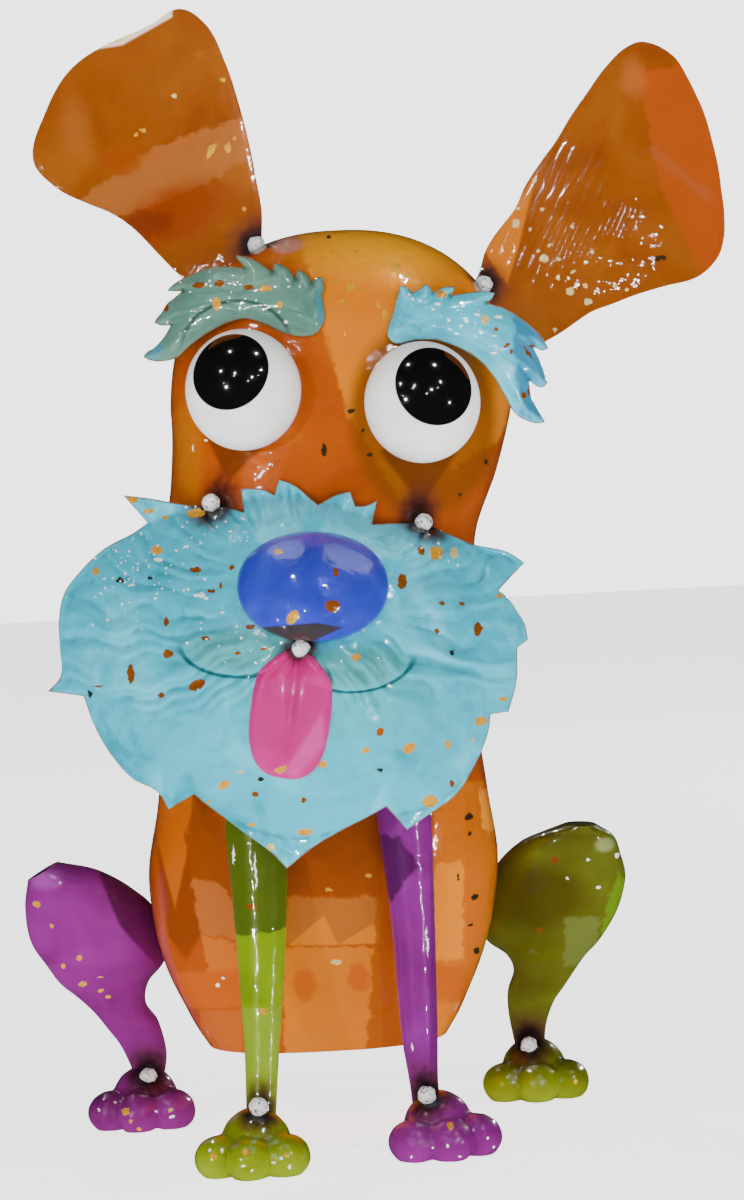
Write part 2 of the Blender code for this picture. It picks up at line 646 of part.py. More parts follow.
def make_paw(name, parts, cutters, finish):
    """Cast-looking paw: an ankle dome with three toes, flat below."""
    x, y, heading = PAWS[name]
    size = Vector((PAW_WIDTH, PAW_LENGTH, PAW_HEIGHT)) * U
    toe_radii = size * Vector(TOE_SHARES)
    dome_radii = size * Vector(DOME_SHARES)
    paw = ball(name, parts, finish, (x, y, 0), dome_radii, DOME_SIDES, BEAD_RINGS)
    paw.data.transform(Matrix.Translation((0, 0, size.z - dome_radii.z)))
    for turn in (-TOE_FAN, 0.0, TOE_FAN):
        toe = ball(name + "_toe_cutter", cutters, None, (x, y, 0), toe_radii, BEAD_SIDES, BEAD_RINGS)
        reach = 0.5 * size.y - TOE_TUCK * toe_radii.y
        side = (0.5 * size.x - toe_radii.x) / math.sin(TOE_FAN)
        place = (side * math.sin(turn), -reach * math.cos(turn), TOE_LIFT * toe_radii.z)
        toe.data.transform(Matrix.Translation(place))
        hide_cutter(toe)
        combine(paw, toe, "UNION")
    ground = bpy.data.meshes.new(name + "_ground_cutter")
    slab = bmesh.new()
    bmesh.ops.create_cube(slab, size=2.0 * size.x)
    bmesh.ops.translate(slab, verts=slab.verts, vec=(0, 0, -size.x))
    slab.to_mesh(ground)
    slab.free()
    floor = bpy.data.objects.new(name + "_ground_cutter", ground)
    cutters.objects.link(floor)
    floor.location = Vector((x, y, 0)) * U
    hide_cutter(floor)
    combine(paw, floor, "DIFFERENCE")
    paw.data.transform(Matrix.Rotation(math.radians(heading), 4, "Z"))
    bpy.context.view_layer.update()
    return paw


def make_finish(name):
    """Principled material with the finish's colour, metallic value and roughness."""
    colour, metallic, roughness = FINISHES[name]
    finish = bpy.data.materials.new(name)
    finish.use_nodes = True
    shader = finish.node_tree.nodes["Principled BSDF"]
    shader.inputs["Base Color"].default_value = (*colour, 1.0)
    shader.inputs["Metallic"].default_value = metallic
    shader.inputs["Roughness"].default_value = roughness
    return finish


def centre_on_origin(root, pieces):
    """Move the root so that the figure's box stands centred on the origin."""
    bpy.context.view_layer.update()
    corners = [piece.matrix_world @ vert.co for piece in pieces for vert in piece.data.vertices]
    low = [min(corner[axis] for corner in corners) for axis in range(3)]
    high = [max(corner[axis] for corner in corners) for axis in range(3)]
    root.location = (-(low[0] + high[0]) / 2, -(low[1] + high[1]) / 2, -low[2])
    bpy.context.view_layer.update()


def make_face(parts, cutters, finishes):
    """Beard with nose and tongue, ears, eyes and eyebrows, and what cuts the beads clear of them."""
    pieces, cutter_of, fronts = {}, {}, {}
    body = pieces["body"] = make_trunk(parts, finishes["orange_enamel"])
    cutter_of["body"] = make_cutter(body, cutters)

    pieces["beard"], cutter_of["beard"], fronts["beard"] = make_beard(
        parts, cutters, finishes["turquoise_enamel"])
    bosses = (("nose", "violet_blue_enamel", NOSE_PLACE, NOSE_TURN, NOSE_SIZE, NOSE_RISE, NOSE_POWER),
              ("tongue", "pink_enamel", TONGUE_PLACE, TONGUE_TURN, TONGUE_SIZE, TONGUE_RISE, TONGUE_POWER))
    for name, colour, place, turn, size, rise, round_power in bosses:
        boss = make_boss(name, parts, finishes[colour], place, turn, size, rise, round_power,
                         fronts["beard"], BOSS_SIDES)
        cutter_of[name] = make_cutter(boss, cutters)
        combine(boss, cutter_of["beard"], "DIFFERENCE")
        pieces[name] = boss
    combine(pieces["tongue"], cutter_of["nose"], "DIFFERENCE")

    for name in EARS:
        pieces[name], cutter_of[name], fronts[name] = make_ear(name, parts, cutters, finishes["ear_enamel"])
        combine(pieces[name], cutter_of["body"], "DIFFERENCE")

    for name, (x, z) in EYES.items():
        place = (x, trunk_front(x, z) - EYE_STAND / U, z)
        radii = (0.5 * EYE_WIDTH, 0.5 * EYE_WIDTH, 0.5 * EYE_HEIGHT)
        pieces[name] = ball(name, parts, finishes["eye_enamel"], place, radii, EYE_SIDES, EYE_RINGS)
        cutter_of[name] = make_cutter(pieces[name], cutters)
        combine(pieces[name], cutter_of["body"], "DIFFERENCE")

    for name in BROWS:
        pieces[name] = make_brow(name, parts, finishes["turquoise_enamel"])
        combine(pieces[name], cutter_of[name.replace("eyebrow", "eye")], "DIFFERENCE")
    return pieces, cutter_of, fronts


def make_legs(parts, cutters, finishes, pieces, cutter_of):
    """Four legs cut to the trunk above and to their paws below."""
    for name, colour in LEG_COLOURS.items():
        leg_maker = make_front_leg if name in FRONT_LEGS else make_rear_leg
        leg = leg_maker(name, parts, finishes[colour])
        paw_name = name.replace("front_leg", "paw_front").replace("rear_leg", "paw_rear")
        paw = make_paw(paw_name, parts, cutters, finishes[colour])
        cutter_of[name] = make_cutter(leg, cutters)
        cutter_of[paw_name] = make_cutter(paw, cutters)
        combine(leg, cutter_of["body"], "DIFFERENCE")
        combine(leg, cutter_of[paw_name], "DIFFERENCE")
        pieces[name] = leg
        pieces[paw_name] = paw


def make_beads(parts, finish, pieces, cutter_of, fronts):
    """Weld beads, each a small ball cut clear of the trunk and of the pieces that it joins."""
    for name, ((x, y, z), neighbours) in BEADS.items():
        if y is None:
            y = fronts[neighbours[0]](x, z) - BEAD_SEAT * BEAD_RADIUS / U
        bead = ball(name, parts, finish, (x, y, z), (BEAD_RADIUS,) * 3, BEAD_SIDES, BEAD_RINGS)
        for neighbour in ("body", *neighbours):
            combine(bead, cutter_of[neighbour], "DIFFERENCE")
        pieces[name] = bead


def build():
    """Make every piece, cut neighbours clear of each other and set the figure on the origin."""
    clear_scene()
    scene = bpy.context.scene
    parts = bpy.data.collections.new("sheet_metal_dog")
    cutters = bpy.data.collections.new("cutters")
    scene.collection.children.link(parts)
    scene.collection.children.link(cutters)
    finishes = {name: make_finish(name) for name in FINISHES}

    pieces, cutter_of, fronts = make_face(parts, cutters, finishes)
    make_legs(parts, cutters, finishes, pieces, cutter_of)
    make_beads(parts, finishes["weld_steel"], pieces, cutter_of, fronts)

    root = bpy.data.objects.new("dog_stand_point", None)
    scene.collection.objects.link(root)
    for piece in pieces.values():
        piece.data.shade_smooth()
        piece.data.set_sharp_from_angle(angle=SHARP_ANGLE)
        piece.parent = root
    centre_on_origin(root, pieces.values())


build()
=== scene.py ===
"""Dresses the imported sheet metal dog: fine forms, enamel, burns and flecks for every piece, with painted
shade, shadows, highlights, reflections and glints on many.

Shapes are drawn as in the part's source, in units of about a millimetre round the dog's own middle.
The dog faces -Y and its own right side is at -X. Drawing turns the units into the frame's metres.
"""
import logging
import math
from collections.abc import Callable, Sequence
from dataclasses import dataclass, field
from enum import Enum

import bmesh
import bpy
from mathutils import Matrix, Vector, geometry, kdtree, noise


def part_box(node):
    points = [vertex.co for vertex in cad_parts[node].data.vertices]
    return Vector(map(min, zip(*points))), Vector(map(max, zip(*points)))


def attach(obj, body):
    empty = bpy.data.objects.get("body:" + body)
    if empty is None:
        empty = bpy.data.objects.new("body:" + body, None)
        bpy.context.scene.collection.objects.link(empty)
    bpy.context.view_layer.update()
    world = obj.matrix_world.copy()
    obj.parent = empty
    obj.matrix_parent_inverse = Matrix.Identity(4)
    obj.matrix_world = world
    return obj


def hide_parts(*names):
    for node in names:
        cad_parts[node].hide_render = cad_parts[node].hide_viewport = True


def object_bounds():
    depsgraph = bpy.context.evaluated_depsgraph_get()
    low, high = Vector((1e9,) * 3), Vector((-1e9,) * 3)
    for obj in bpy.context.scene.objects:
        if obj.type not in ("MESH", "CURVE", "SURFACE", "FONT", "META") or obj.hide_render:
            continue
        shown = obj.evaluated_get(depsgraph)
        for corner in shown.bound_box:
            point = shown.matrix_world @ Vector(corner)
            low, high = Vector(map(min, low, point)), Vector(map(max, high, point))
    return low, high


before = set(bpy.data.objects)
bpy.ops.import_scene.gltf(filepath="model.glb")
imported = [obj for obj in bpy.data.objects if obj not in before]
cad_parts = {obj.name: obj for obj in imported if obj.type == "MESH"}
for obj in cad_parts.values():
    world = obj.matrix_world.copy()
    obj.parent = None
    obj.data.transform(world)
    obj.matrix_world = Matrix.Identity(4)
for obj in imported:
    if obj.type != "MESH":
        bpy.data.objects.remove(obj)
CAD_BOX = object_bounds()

log = logging.getLogger("dog")

UNIT = 0.001
PIXEL = 0.00045
THROUGH = 0.9
SHEET = 1.2
Spot = tuple[float, float]
Pixel = tuple[float, float]
Colour = tuple[int, int, int]
Place = tuple[float, float, float]
Height = Callable[[float, float, float], float]
Socket = bpy.types.NodeSocket


class Slot(Enum):
    """Material slots of the record."""

    ORANGE = "orange_enamel"
    EAR = "ear_enamel"
    TURQUOISE = "turquoise_enamel"
    BLUE = "violet_blue_enamel"
    PINK = "pink_enamel"
    GREEN = "green_enamel"
    PURPLE = "purple_enamel"
    EYE = "eye_enamel"
    STEEL = "weld_steel"


class FoilAndGlint(Enum):
    """Colours of the foil flecks under the clear coat, and of the painted glints on it. The pale one serves
    both some flecks and some painted glints.
    """

    GOLD = (250, 178, 40)
    PALE = (255, 226, 150)
    BROWN = (150, 78, 8)
    RED = (150, 52, 10)
    DARK = (58, 44, 22)
    GLINT = (255, 255, 252)


# Numbers and curves

def spline(points: Sequence[Spot], x: float) -> float:
    """Value of the smooth curve through some points, flat beyond its ends.

    Args:
        points: the (x, value) points in order.
        x: where to read the curve.

    Returns:
        The value at x.
    """
    if x <= points[0][0]:
        return points[0][1]
    if x >= points[-1][0]:
        return points[-1][1]
    i = max(k for k in range(len(points) - 1) if points[k][0] <= x)
    before, a = points[max(i - 1, 0)], points[i]
    b, after = points[i + 1], points[min(i + 2, len(points) - 1)]
    span = b[0] - a[0]
    slope_a = (b[1] - before[1]) / (b[0] - before[0])
    slope_b = (after[1] - a[1]) / (after[0] - a[0])
    t = (x - a[0]) / span
    return ((2 * t ** 3 - 3 * t ** 2 + 1) * a[1] + (t ** 3 - 2 * t ** 2 + t) * span * slope_a
            + (3 * t ** 2 - 2 * t ** 3) * b[1] + (t ** 3 - t ** 2) * span * slope_b)


def power(value: float, exponent: float) -> float:
    """Power of a value's size, with its sign kept."""
    return math.copysign(abs(value) ** exponent, value)


def ease(low: float, high: float, value: float) -> float:
    """Smooth step from 0 at low to 1 at high."""
    t = min(max((value - low) / (high - low), 0.0), 1.0)
    return t * t * (3 - 2 * t)


def ripple(x: float, z: float, layer: float) -> float:
    """Smooth seeded noise from -1 to 1 at a place of one layer."""
    return noise.noise(Vector((x, z, layer)))


def polar(centre: Spot, degrees: float, radius: float) -> Spot:
    """The (x, z) point at an angle and radius from a centre."""
    turn = math.radians(degrees)
    return centre[0] + radius * math.cos(turn), centre[1] + radius * math.sin(turn)


def linear(colour: Sequence[float]) -> tuple[float, float, float, float]:
    """Scene-linear colour of one given in 0 to 255 display values."""
    shares = [value / 255 for value in colour]
    return (*(s / 12.92 if s <= 0.04045 else ((s + 0.055) / 1.055) ** 2.4 for s in shares), 1.0)


def rounded(points: Sequence[Spot], corners: set[int], spacing: float) -> list[Spot]:
    """Closed outline through some points, smooth except at its corners.

    Args:
        points: the outline's points in order.
        corners: indices of the points that stay sharp.
        spacing: distance between the points of the result.

    Returns:
        The dense outline.
    """
    count = len(points)
    spots = [Vector(point) for point in points]
    sides = [spots[(k + 1) % count] - spots[k] for k in range(count)]
    dense = []
    for k in range(count):
        after = (k + 1) % count
        reach = sides[k].length
        own = sides[k].normalized()
        start = own if k in corners else (own + sides[k - 1].normalized()).normalized()
        end = own if after in corners else (own + sides[after].normalized()).normalized()
        steps = max(math.ceil(reach / spacing), 1)
        for step in range(steps):
            t = step / steps
            spot = ((2 * t ** 3 - 3 * t ** 2 + 1) * spots[k] + (t ** 3 - 2 * t ** 2 + t) * reach * start
                    + (3 * t ** 2 - 2 * t ** 3) * spots[after] + (t ** 3 - t ** 2) * reach * end)
            dense.append((spot.x, spot.y))
    return dense


def grid_inside(outline: Sequence[Spot], spacing: float) -> list[Spot]:
    """Staggered grid points inside a closed outline.

    Args:
        outline: the outline's points in order.
        spacing: distance between grid points.

    Returns:
        The points.
    """
    low = min(z for _, z in outline)
    high = max(z for _, z in outline)
    step = spacing * math.sqrt(3) / 2
    found = []
    for row in range(1, math.ceil((high - low) / step)):
        z = low + row * step
        cuts = []
        for (ax, az), (bx, bz) in zip(outline, [*outline[1:], outline[0]]):
            if (az > z) != (bz > z):
                cuts.append(ax + (bx - ax) * (z - az) / (bz - az))
        cuts.sort()
        for start, stop in zip(cuts[::2], cuts[1::2]):
            first = math.ceil(start / spacing + 0.5 * (row % 2))
            last = math.floor(stop / spacing + 0.5 * (row % 2))
            found.extend(((k - 0.5 * (row % 2)) * spacing, z) for k in range(first, last + 1))
    return found


# The drawing and its meshes

@dataclass(frozen=True)
class Sight:
    """The photograph's camera. It also finds the drawing's place under a pixel."""

    eye: Place = (22.0, -1600.0, 300.0)
    pitch: float = 2.2
    roll: float = 3.0
    focal: float = 3556.0
    middle: Pixel = (372.0, 600.0)

    def turn(self) -> Matrix:
        """Rotation from the camera's axes to the drawing's."""
        return (Matrix.Rotation(math.radians(90.0 - self.pitch), 4, "X")
                @ Matrix.Rotation(math.radians(-self.roll), 4, "Z"))

    def under(self, pixel: Pixel, depth: float) -> Spot:
        """The drawing's (x, z) seen at a pixel, on the plane of one Y.

        Args:
            pixel: the pixel.
            depth: the plane's Y.

        Returns:
            The place.
        """
        ray = self.turn() @ Vector(((pixel[0] - self.middle[0]) / self.focal,
                                    (self.middle[1] - pixel[1]) / self.focal, -1.0))
        share = (depth - self.eye[1]) / ray.y
        return self.eye[0] + share * ray.x, self.eye[2] + share * ray.z


@dataclass(frozen=True)
class Drawing:
    """The part's drawing, where its middle stands in the frame, and how the photograph sees it."""

    shift: Vector
    sight: Sight = Sight()

    @classmethod
    def from_frame(cls, eye_x: float, trunk_y: float, trunk_base: float) -> "Drawing":
        """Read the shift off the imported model.

        Args:
            eye_x: the drawn middle of the right eye.
            trunk_y: the drawn middle of the trunk's depth.
            trunk_base: the drawn height of the trunk's underside.

        Returns:
            The drawing.
        """
        eye_low, eye_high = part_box("eye_right")
        low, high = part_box("body")
        return cls(Vector(((eye_low[0] + eye_high[0]) / 2 - eye_x * UNIT,
                           (low[1] + high[1]) / 2 - trunk_y * UNIT, low[2] - trunk_base * UNIT)))

    def metres(self, place: Sequence[float]) -> Vector:
        """Place in the frame of a place in the drawing."""
        return Vector(place) * UNIT + self.shift

    def units(self, place: Sequence[float]) -> Vector:
        """Place in the drawing of a place in the frame."""
        return (Vector(place) - self.shift) / UNIT


@dataclass
class Body:
    """Vertices and faces of a closed body, with a distance to the sheet's edge at each vertex."""

    verts: list[Sequence[float]] = field(default_factory=list)
    faces: list[tuple[int, ...]] = field(default_factory=list)
    rims: list[float] = field(default_factory=list)

    def tube(self, count: int, levels: int) -> None:
        """Join equal rings into a tube and close both its ends.

        Args:
            count: points in each ring.
            levels: number of rings.
        """
        for start in range(0, (levels - 1) * count, count):
            for k in range(count):
                a = start + k
                b = start + (k + 1) % count
                self.faces.append((a, b, b + count, a + count))
        self.cap(0, count)
        self.cap((levels - 1) * count, count)

    def cap(self, start: int, count: int) -> None:
        """Close a ring with a fan round its middle.

        Args:
            start: index of the ring's first point.
            count: points in the ring.
        """
        ring = self.verts[start:start + count]
        hub = len(self.verts)
        self.verts.append(tuple(sum(point[axis] for point in ring) / count for axis in range(3)))
        self.faces.extend((start + k, start + (k + 1) % count, hub) for k in range(count))

    def to_piece(self, drawing: Drawing, name: str, nodes: Sequence[str], slot: Slot,
                 material: bpy.types.Material, crease: float = 50.0) -> bpy.types.Object:
        """Make the scene's piece, kept inside the CAD box, in place of its CAD nodes.

        Args:
            drawing: the drawing that the vertices are in.
            name: the piece's name.
            nodes: the CAD nodes that it stands for.
            slot: the record's slot of its finish; not used.
            material: its material.
            crease: angle in degrees above which an edge stays sharp.

        Returns:
            The piece.
        """
        mesh = bpy.data.meshes.new(name)
        mesh.from_pydata([drawing.metres(vert) for vert in self.verts], [], self.faces)
        if self.rims:
            rim = mesh.attributes.new("rim", "FLOAT", "POINT")
            rim.data.foreach_set("value", self.rims)
        facing = bmesh.new()
        facing.from_mesh(mesh)
        bmesh.ops.recalc_face_normals(facing, faces=facing.faces)
        facing.to_mesh(mesh)
        facing.free()
        return dress(mesh, name, nodes, material, crease)


def dress(mesh: bpy.types.Mesh, name: str, nodes: Sequence[str],
          material: bpy.types.Material, crease: float) -> bpy.types.Object:
    """Put a finished mesh in the scene in place of its CAD nodes.

    Args:
        mesh: the mesh in the frame's metres.
        name: the piece's name.
        nodes: the CAD nodes that it stands for.
        material: its material.
        crease: angle in degrees above which an edge stays sharp.

    Returns:
        The piece.
    """
    low, high = CAD_BOX
    places = [min(max(vert.co[axis], low[axis]), high[axis]) for vert in mesh.vertices for axis in range(3)]
    mesh.vertices.foreach_set("co", places)
    piece = bpy.data.objects.new(name, mesh)
    bpy.context.scene.collection.objects.link(piece)
    mesh.materials.append(material)
    mesh.shade_smooth()
    mesh.set_sharp_from_angle(angle=math.radians(crease))
    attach(piece, "root")
    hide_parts(*nodes)
    log.info("%s: %d faces", name, len(mesh.polygons))
    return piece


@dataclass
class Sheet:
    """A pressed sheet that fills an outline, with round edges.

    front gives the front's Y at (x, z) and at the distance to the edge. extra holds points that the
    mesh needs besides its grid, such as along a crease.
    """

    outline: list[Spot]
    front: Height
    spacing: float = 1.1
    thickness: float = SHEET
    extra: list[Spot] = field(default_factory=list)
    rows: tuple[float, ...] = (0.1, 0.3, 0.6)

    def body(self) -> Body:
        """Triangulate the outline and give both sides their Y.

        Returns:
            The closed body.
        """
        count = len(self.outline)
        tree = kdtree.KDTree(count)
        for k, (x, z) in enumerate(self.outline):
            tree.insert((x, z, 0.0), k)
        tree.balance()

        def reach(spot: Spot) -> float:
            """Distance from a spot to the outline."""
            return tree.find((spot[0], spot[1], 0.0))[2]

        area = sum(ax * bz - bx * az for (ax, az), (bx, bz)
                   in zip(self.outline, [*self.outline[1:], self.outline[0]]))
        turn = math.copysign(1.0, area)
        spots = list(self.outline)
        for row in self.rows:
            for k in range(count):
                before, after = Vector(self.outline[k - 1]), Vector(self.outline[(k + 1) % count])
                along = (after - before).normalized()
                x, z = self.outline[k]
                spot = (x - turn * along.y * row, z + turn * along.x * row)
                if reach(spot) > 0.8 * row:
                    spots.append(spot)
        spots += [spot for spot in self.extra if reach(spot) > self.rows[-1] + 0.2 * self.spacing]
        taken = kdtree.KDTree(len(self.extra) + 1)
        taken.insert((1e6, 0.0, 0.0), 0)
        for k, (x, z) in enumerate(self.extra):
            taken.insert((x, z, 0.0), k + 1)
        taken.balance()
        for spot in grid_inside(self.outline, self.spacing):
            clear = taken.find((spot[0], spot[1], 0.0))[2] > 0.5 * self.spacing
            if clear and reach(spot) > self.rows[-1] + 0.4 * self.spacing:
                spots.append(spot)
        edges = [(k, (k + 1) % count) for k in range(count)]
        flat, _, triangles = geometry.delaunay_2d_cdt([Vector(s) for s in spots], edges, [], 1, 1e-5)[:3]
        return self.both_sides(flat, triangles, tree)

    def both_sides(self, flat: Sequence[Vector], triangles: Sequence[Sequence[int]],
                   tree: kdtree.KDTree) -> Body:
        """Front and back of the triangulated outline, joined at its rim.

        Args:
            flat: the points in (x, z).
            triangles: the triangles between them.
            tree: the outline's points, for distances.

        Returns:
            The closed body.
        """
        half = 0.5 * self.thickness
        result = Body()
        back_of = []
        for spot in flat:
            far = tree.find((spot.x, spot.y, 0.0))[2]
            inset = half - math.sqrt(max(half ** 2 - max(half - far, 0.0) ** 2, 0.0))
            y = self.front(spot.x, spot.y, far)
            result.verts.append((spot.x, y + inset, spot.y))
            result.rims.append(far)
            back_of.append(y + self.thickness - inset if far > 1e-3 else None)
        back_index = []
        for k, spot in enumerate(flat):
            if back_of[k] is None:
                back_index.append(k)
            else:
                back_index.append(len(result.verts))
                result.verts.append((spot.x, back_of[k], spot.y))
                result.rims.append(result.rims[k])
        result.faces = [tuple(triangle) for triangle in triangles]
        result.faces += [tuple(back_index[k] for k in reversed(triangle)) for triangle in triangles]
        return result


@dataclass(frozen=True)
class Canvas:
    """A piece's front as the photograph shows it, where marks are placed by their pixel."""

    drawing: Drawing
    front: Callable[[float, float], float]

    def spot(self, pixel: Pixel) -> Vector:
        """Place in the frame of a pixel, on the piece's front.

        Args:
            pixel: the pixel.

        Returns:
            The place in metres.
        """
        depth = 0.0
        for _ in range(5):
            x, z = self.drawing.sight.under(pixel, depth)
            depth = self.front(x, z)
        return self.drawing.metres((x, depth, z))

    def oval(self, shader: "Shader", mark: "Mark | Fleck | GlintPatch", place: Socket) -> Socket:
        """Place as shares of an oval mark's half sizes, reaching right through the piece."""
        radii = (mark.size[0] * PIXEL, THROUGH, mark.size[1] * PIXEL)
        return shader.local(self.spot(mark.pixel), radii, mark.turn, place)


# Shader building

class Shader:
    """Wires the nodes of one material, with places in the frame's metres."""

    def __init__(self, name: str) -> None:
        """Start the material with its surface shader.

        Args:
            name: the material's name.
        """
        self.material = bpy.data.materials.new(name)
        self.material.use_nodes = True
        self.tree = self.material.node_tree
        self.surface = self.tree.nodes["Principled BSDF"]
        self.place = self.node("TexCoord").outputs["Object"]

    def node(self, kind: str) -> bpy.types.Node:
        """New node of a kind."""
        return self.tree.nodes.new("ShaderNode" + kind)

    def put(self, target: Socket, value: object) -> None:
        """Link a socket to another, or set its value.

        Args:
            target: the socket to feed.
            value: an output's socket or a plain value.
        """
        if isinstance(value, Socket):
            self.tree.links.new(value, target)
        else:
            target.default_value = value

    def math(self, operation: str, a: object, b: object = 0.0, c: object = 0.0) -> Socket:
        """Output of a Math node.

        Args:
            operation: the node's operation.
            a: first value.
            b: second value.
            c: third value.

        Returns:
            The output's socket.
        """
        node = self.node("Math")
        node.operation = operation
        for socket, value in zip(node.inputs, (a, b, c)):
            self.put(socket, value)
        return node.outputs[0]

    def vector(self, operation: str, *values: object) -> Socket:
        """Output of a Vector Math node, the number where the operation gives one.

        Args:
            operation: the node's operation.
            values: its values in order.

        Returns:
            The output's socket.
        """
        node = self.node("VectorMath")
        node.operation = operation
        for socket, value in zip(node.inputs, values):
            self.put(socket, value)
        return node.outputs["Value" if operation in ("LENGTH", "DOT_PRODUCT") else "Vector"]

    def mix(self, share: object, a: object, b: object) -> Socket:
        """Colour between a and b.

        Args:
            share: share of b.
            a: first colour.
            b: second colour.

        Returns:
            The output's socket.
        """
        node = self.node("Mix")
        node.data_type = "RGBA"
        self.put(node.inputs[0], share)
        self.put(node.inputs[6], a)
        self.put(node.inputs[7], b)
        return node.outputs[2]

    def grain(self, scale: float, detail: float = 2.0, distortion: float = 0.0,
              place: Socket | None = None) -> Socket:
        """Noise value from 0 to 1, scale cells to a metre.

        Args:
            scale: cells to a metre.
            detail: octaves of finer grain.
            distortion: how far the grain swirls.
            place: where it is read, when not the plain place.

        Returns:
            The output's socket.
        """
        node = self.node("TexNoise")
        self.put(node.inputs["Vector"], place or self.place)
        node.inputs["Scale"].default_value = scale
        node.inputs["Detail"].default_value = detail
        node.inputs["Distortion"].default_value = distortion
        return node.outputs["Fac"]

    def band(self, value: object, low: float, high: float, start: float = 0.0,
             stop: float = 1.0) -> Socket:
        """Smooth step from start at low to stop at high.

        Args:
            value: the value to read.
            low: where the step begins.
            high: where it ends.
            start: the result up to low.
            stop: the result from high on.

        Returns:
            The output's socket.
        """
        node = self.node("MapRange")
        node.interpolation_type = "SMOOTHSTEP"
        for socket, number in zip(node.inputs, (value, low, high, start, stop)):
            self.put(socket, number)
        return node.outputs[0]

    def cells(self, scale: float, place: Socket) -> tuple[Socket, bpy.types.Node]:
        """Distance to the nearest of scattered points, and a node with that point's random values.

        Args:
            scale: cells to a metre.
            place: where they are read.

        Returns:
            The distance's socket and the node.
        """
        node = self.node("TexVoronoi")
        self.put(node.inputs["Vector"], place)
        node.inputs["Scale"].default_value = scale
        split = self.node("SeparateColor")
        self.put(split.inputs[0], node.outputs["Color"])
        return node.outputs["Distance"], split

    def warped(self, scale: float, amount: float) -> Socket:
        """The place pushed about by noise, for ragged edges.

        Args:
            scale: cells of the noise to a metre.
            amount: largest push in metres.

        Returns:
            The output's socket.
        """
        node = self.node("TexNoise")
        self.put(node.inputs["Vector"], self.place)
        node.inputs["Scale"].default_value = scale
        node.inputs["Detail"].default_value = 3.0
        pushed = self.vector("MULTIPLY_ADD", node.outputs["Color"], (amount,) * 3, self.place)
        return self.vector("SUBTRACT", pushed, (amount / 2,) * 3)

    def local(self, centre: Vector, radii: Sequence[float], turn: float,
              place: Socket | None = None) -> Socket:
        """Place as shares of radii from a centre, turned about Y.

        Args:
            centre: the centre in metres.
            radii: the radii along X, Y and Z in metres.
            turn: the turn about Y in degrees, anticlockwise from the front.
            place: the place to measure from the centre, when not the plain one.

        Returns:
            The vector's socket.
        """
        if turn == 0.0:
            shares = [1.0 / radius for radius in radii]
            start = [-value * share for value, share in zip(centre, shares)]
            return self.vector("MULTIPLY_ADD", place or self.place, shares, start)
        fit = self.node("Mapping")
        fit.vector_type = "TEXTURE"
        self.put(fit.inputs["Vector"], place or self.place)
        fit.inputs["Location"].default_value = centre
        fit.inputs["Rotation"].default_value = (0.0, -math.radians(turn), 0.0)
        fit.inputs["Scale"].default_value = radii
        return fit.outputs[0]

    def length(self, vector: Socket) -> Socket:
        """Length of a vector."""
        return self.vector("LENGTH", vector)

    def beyond(self, normal: Vector, start: float, place: Socket) -> Socket:
        """Distance past a plane, in metres."""
        return self.math("SUBTRACT", self.vector("DOT_PRODUCT", place, normal), start)


@dataclass
class Coat:
    """The enamel of one material under way, on the front of its piece."""

    shader: Shader
    canvas: Canvas
    colour: Socket
    rough: Socket

    def lay(self, share: Socket, colour: Sequence[float]) -> None:
        """Lay another colour over the coat by a share."""
        self.colour = self.shader.mix(share, self.colour, linear(colour))

    def far(self, mark: "Mark | Fleck | GlintPatch", place: Socket) -> Socket:
        """Distance from an oval mark's middle, 1 on its edge."""
        return self.shader.length(self.canvas.oval(self.shader, mark, place))


@dataclass(frozen=True)
class Mark:
    """Something painted at a pixel of the photograph, with half sizes in pixels, reaching right through."""

    colour: Colour
    pixel: Pixel
    size: Pixel
    turn: float = 0.0


@dataclass(frozen=True)
class Zone(Mark):
    """An oval patch of another colour. Most are painted shade, shadows, highlights and reflections; a few
    are the enamel's own tone.
    """

    strength: float = 0.9
    soft: float = 0.4
    ragged: bool = False

    def paint(self, coat: Coat) -> None:
        """Lay this patch over the coat."""
        far = coat.far(self, coat.rough if self.ragged else coat.shader.place)
        coat.lay(coat.shader.band(far, 1.0 - self.soft, 1.0 + self.soft, self.strength, 0.0), self.colour)


@dataclass(frozen=True)
class CreaseShadow(Mark):
    """A painted shadow: a dark line along the lower edge of an oval form, in the crease below it."""

    width: float = 0.08
    strength: float = 0.8

    def paint(self, coat: Coat) -> None:
        """Lay this line over the coat.

        Args:
            coat: the coat under way.
        """
        shader = coat.shader
        local = coat.canvas.oval(shader, self, shader.place)
        off = shader.math("ABSOLUTE", shader.math("SUBTRACT", shader.length(local), 1.0))
        height = shader.node("SeparateXYZ")
        shader.put(height.inputs[0], local)
        below = shader.band(height.outputs[2], -0.5, 0.1, self.strength, 0.0)
        line = shader.band(off, 0.2 * self.width, self.width, 1.0, 0.0)
        coat.lay(shader.math("MULTIPLY", line, below), self.colour)


@dataclass(frozen=True)
class Panel:
    """A patch with straight sides between pixels of the photograph, reaching right through. Most are
    painted shade, shadows, highlights and reflections.
    """

    colour: Colour
    corners: tuple[Pixel, ...]
    strength: float = 0.9
    soft: float = 1.5
    ragged: bool = False

    def paint(self, coat: Coat) -> None:
        """Lay this patch over the coat.

        Args:
            coat: the coat under way.
        """
        shader = coat.shader
        spots = [coat.canvas.spot(corner) for corner in self.corners]
        middle = sum(spots, Vector()) / len(spots)
        outside = None
        for a, b in zip(spots, [*spots[1:], spots[0]]):
            normal = Vector((b.z - a.z, 0.0, a.x - b.x)).normalized()
            if normal.dot(middle - a) > 0:
                normal = -normal
            start = normal.x * a.x + normal.z * a.z
            beyond = shader.beyond(normal, start, coat.rough if self.ragged else shader.place)
            outside = beyond if outside is None else shader.math("MAXIMUM", outside, beyond)
        reach = self.soft * PIXEL
        coat.lay(shader.band(outside, -reach, reach, self.strength, 0.0), self.colour)


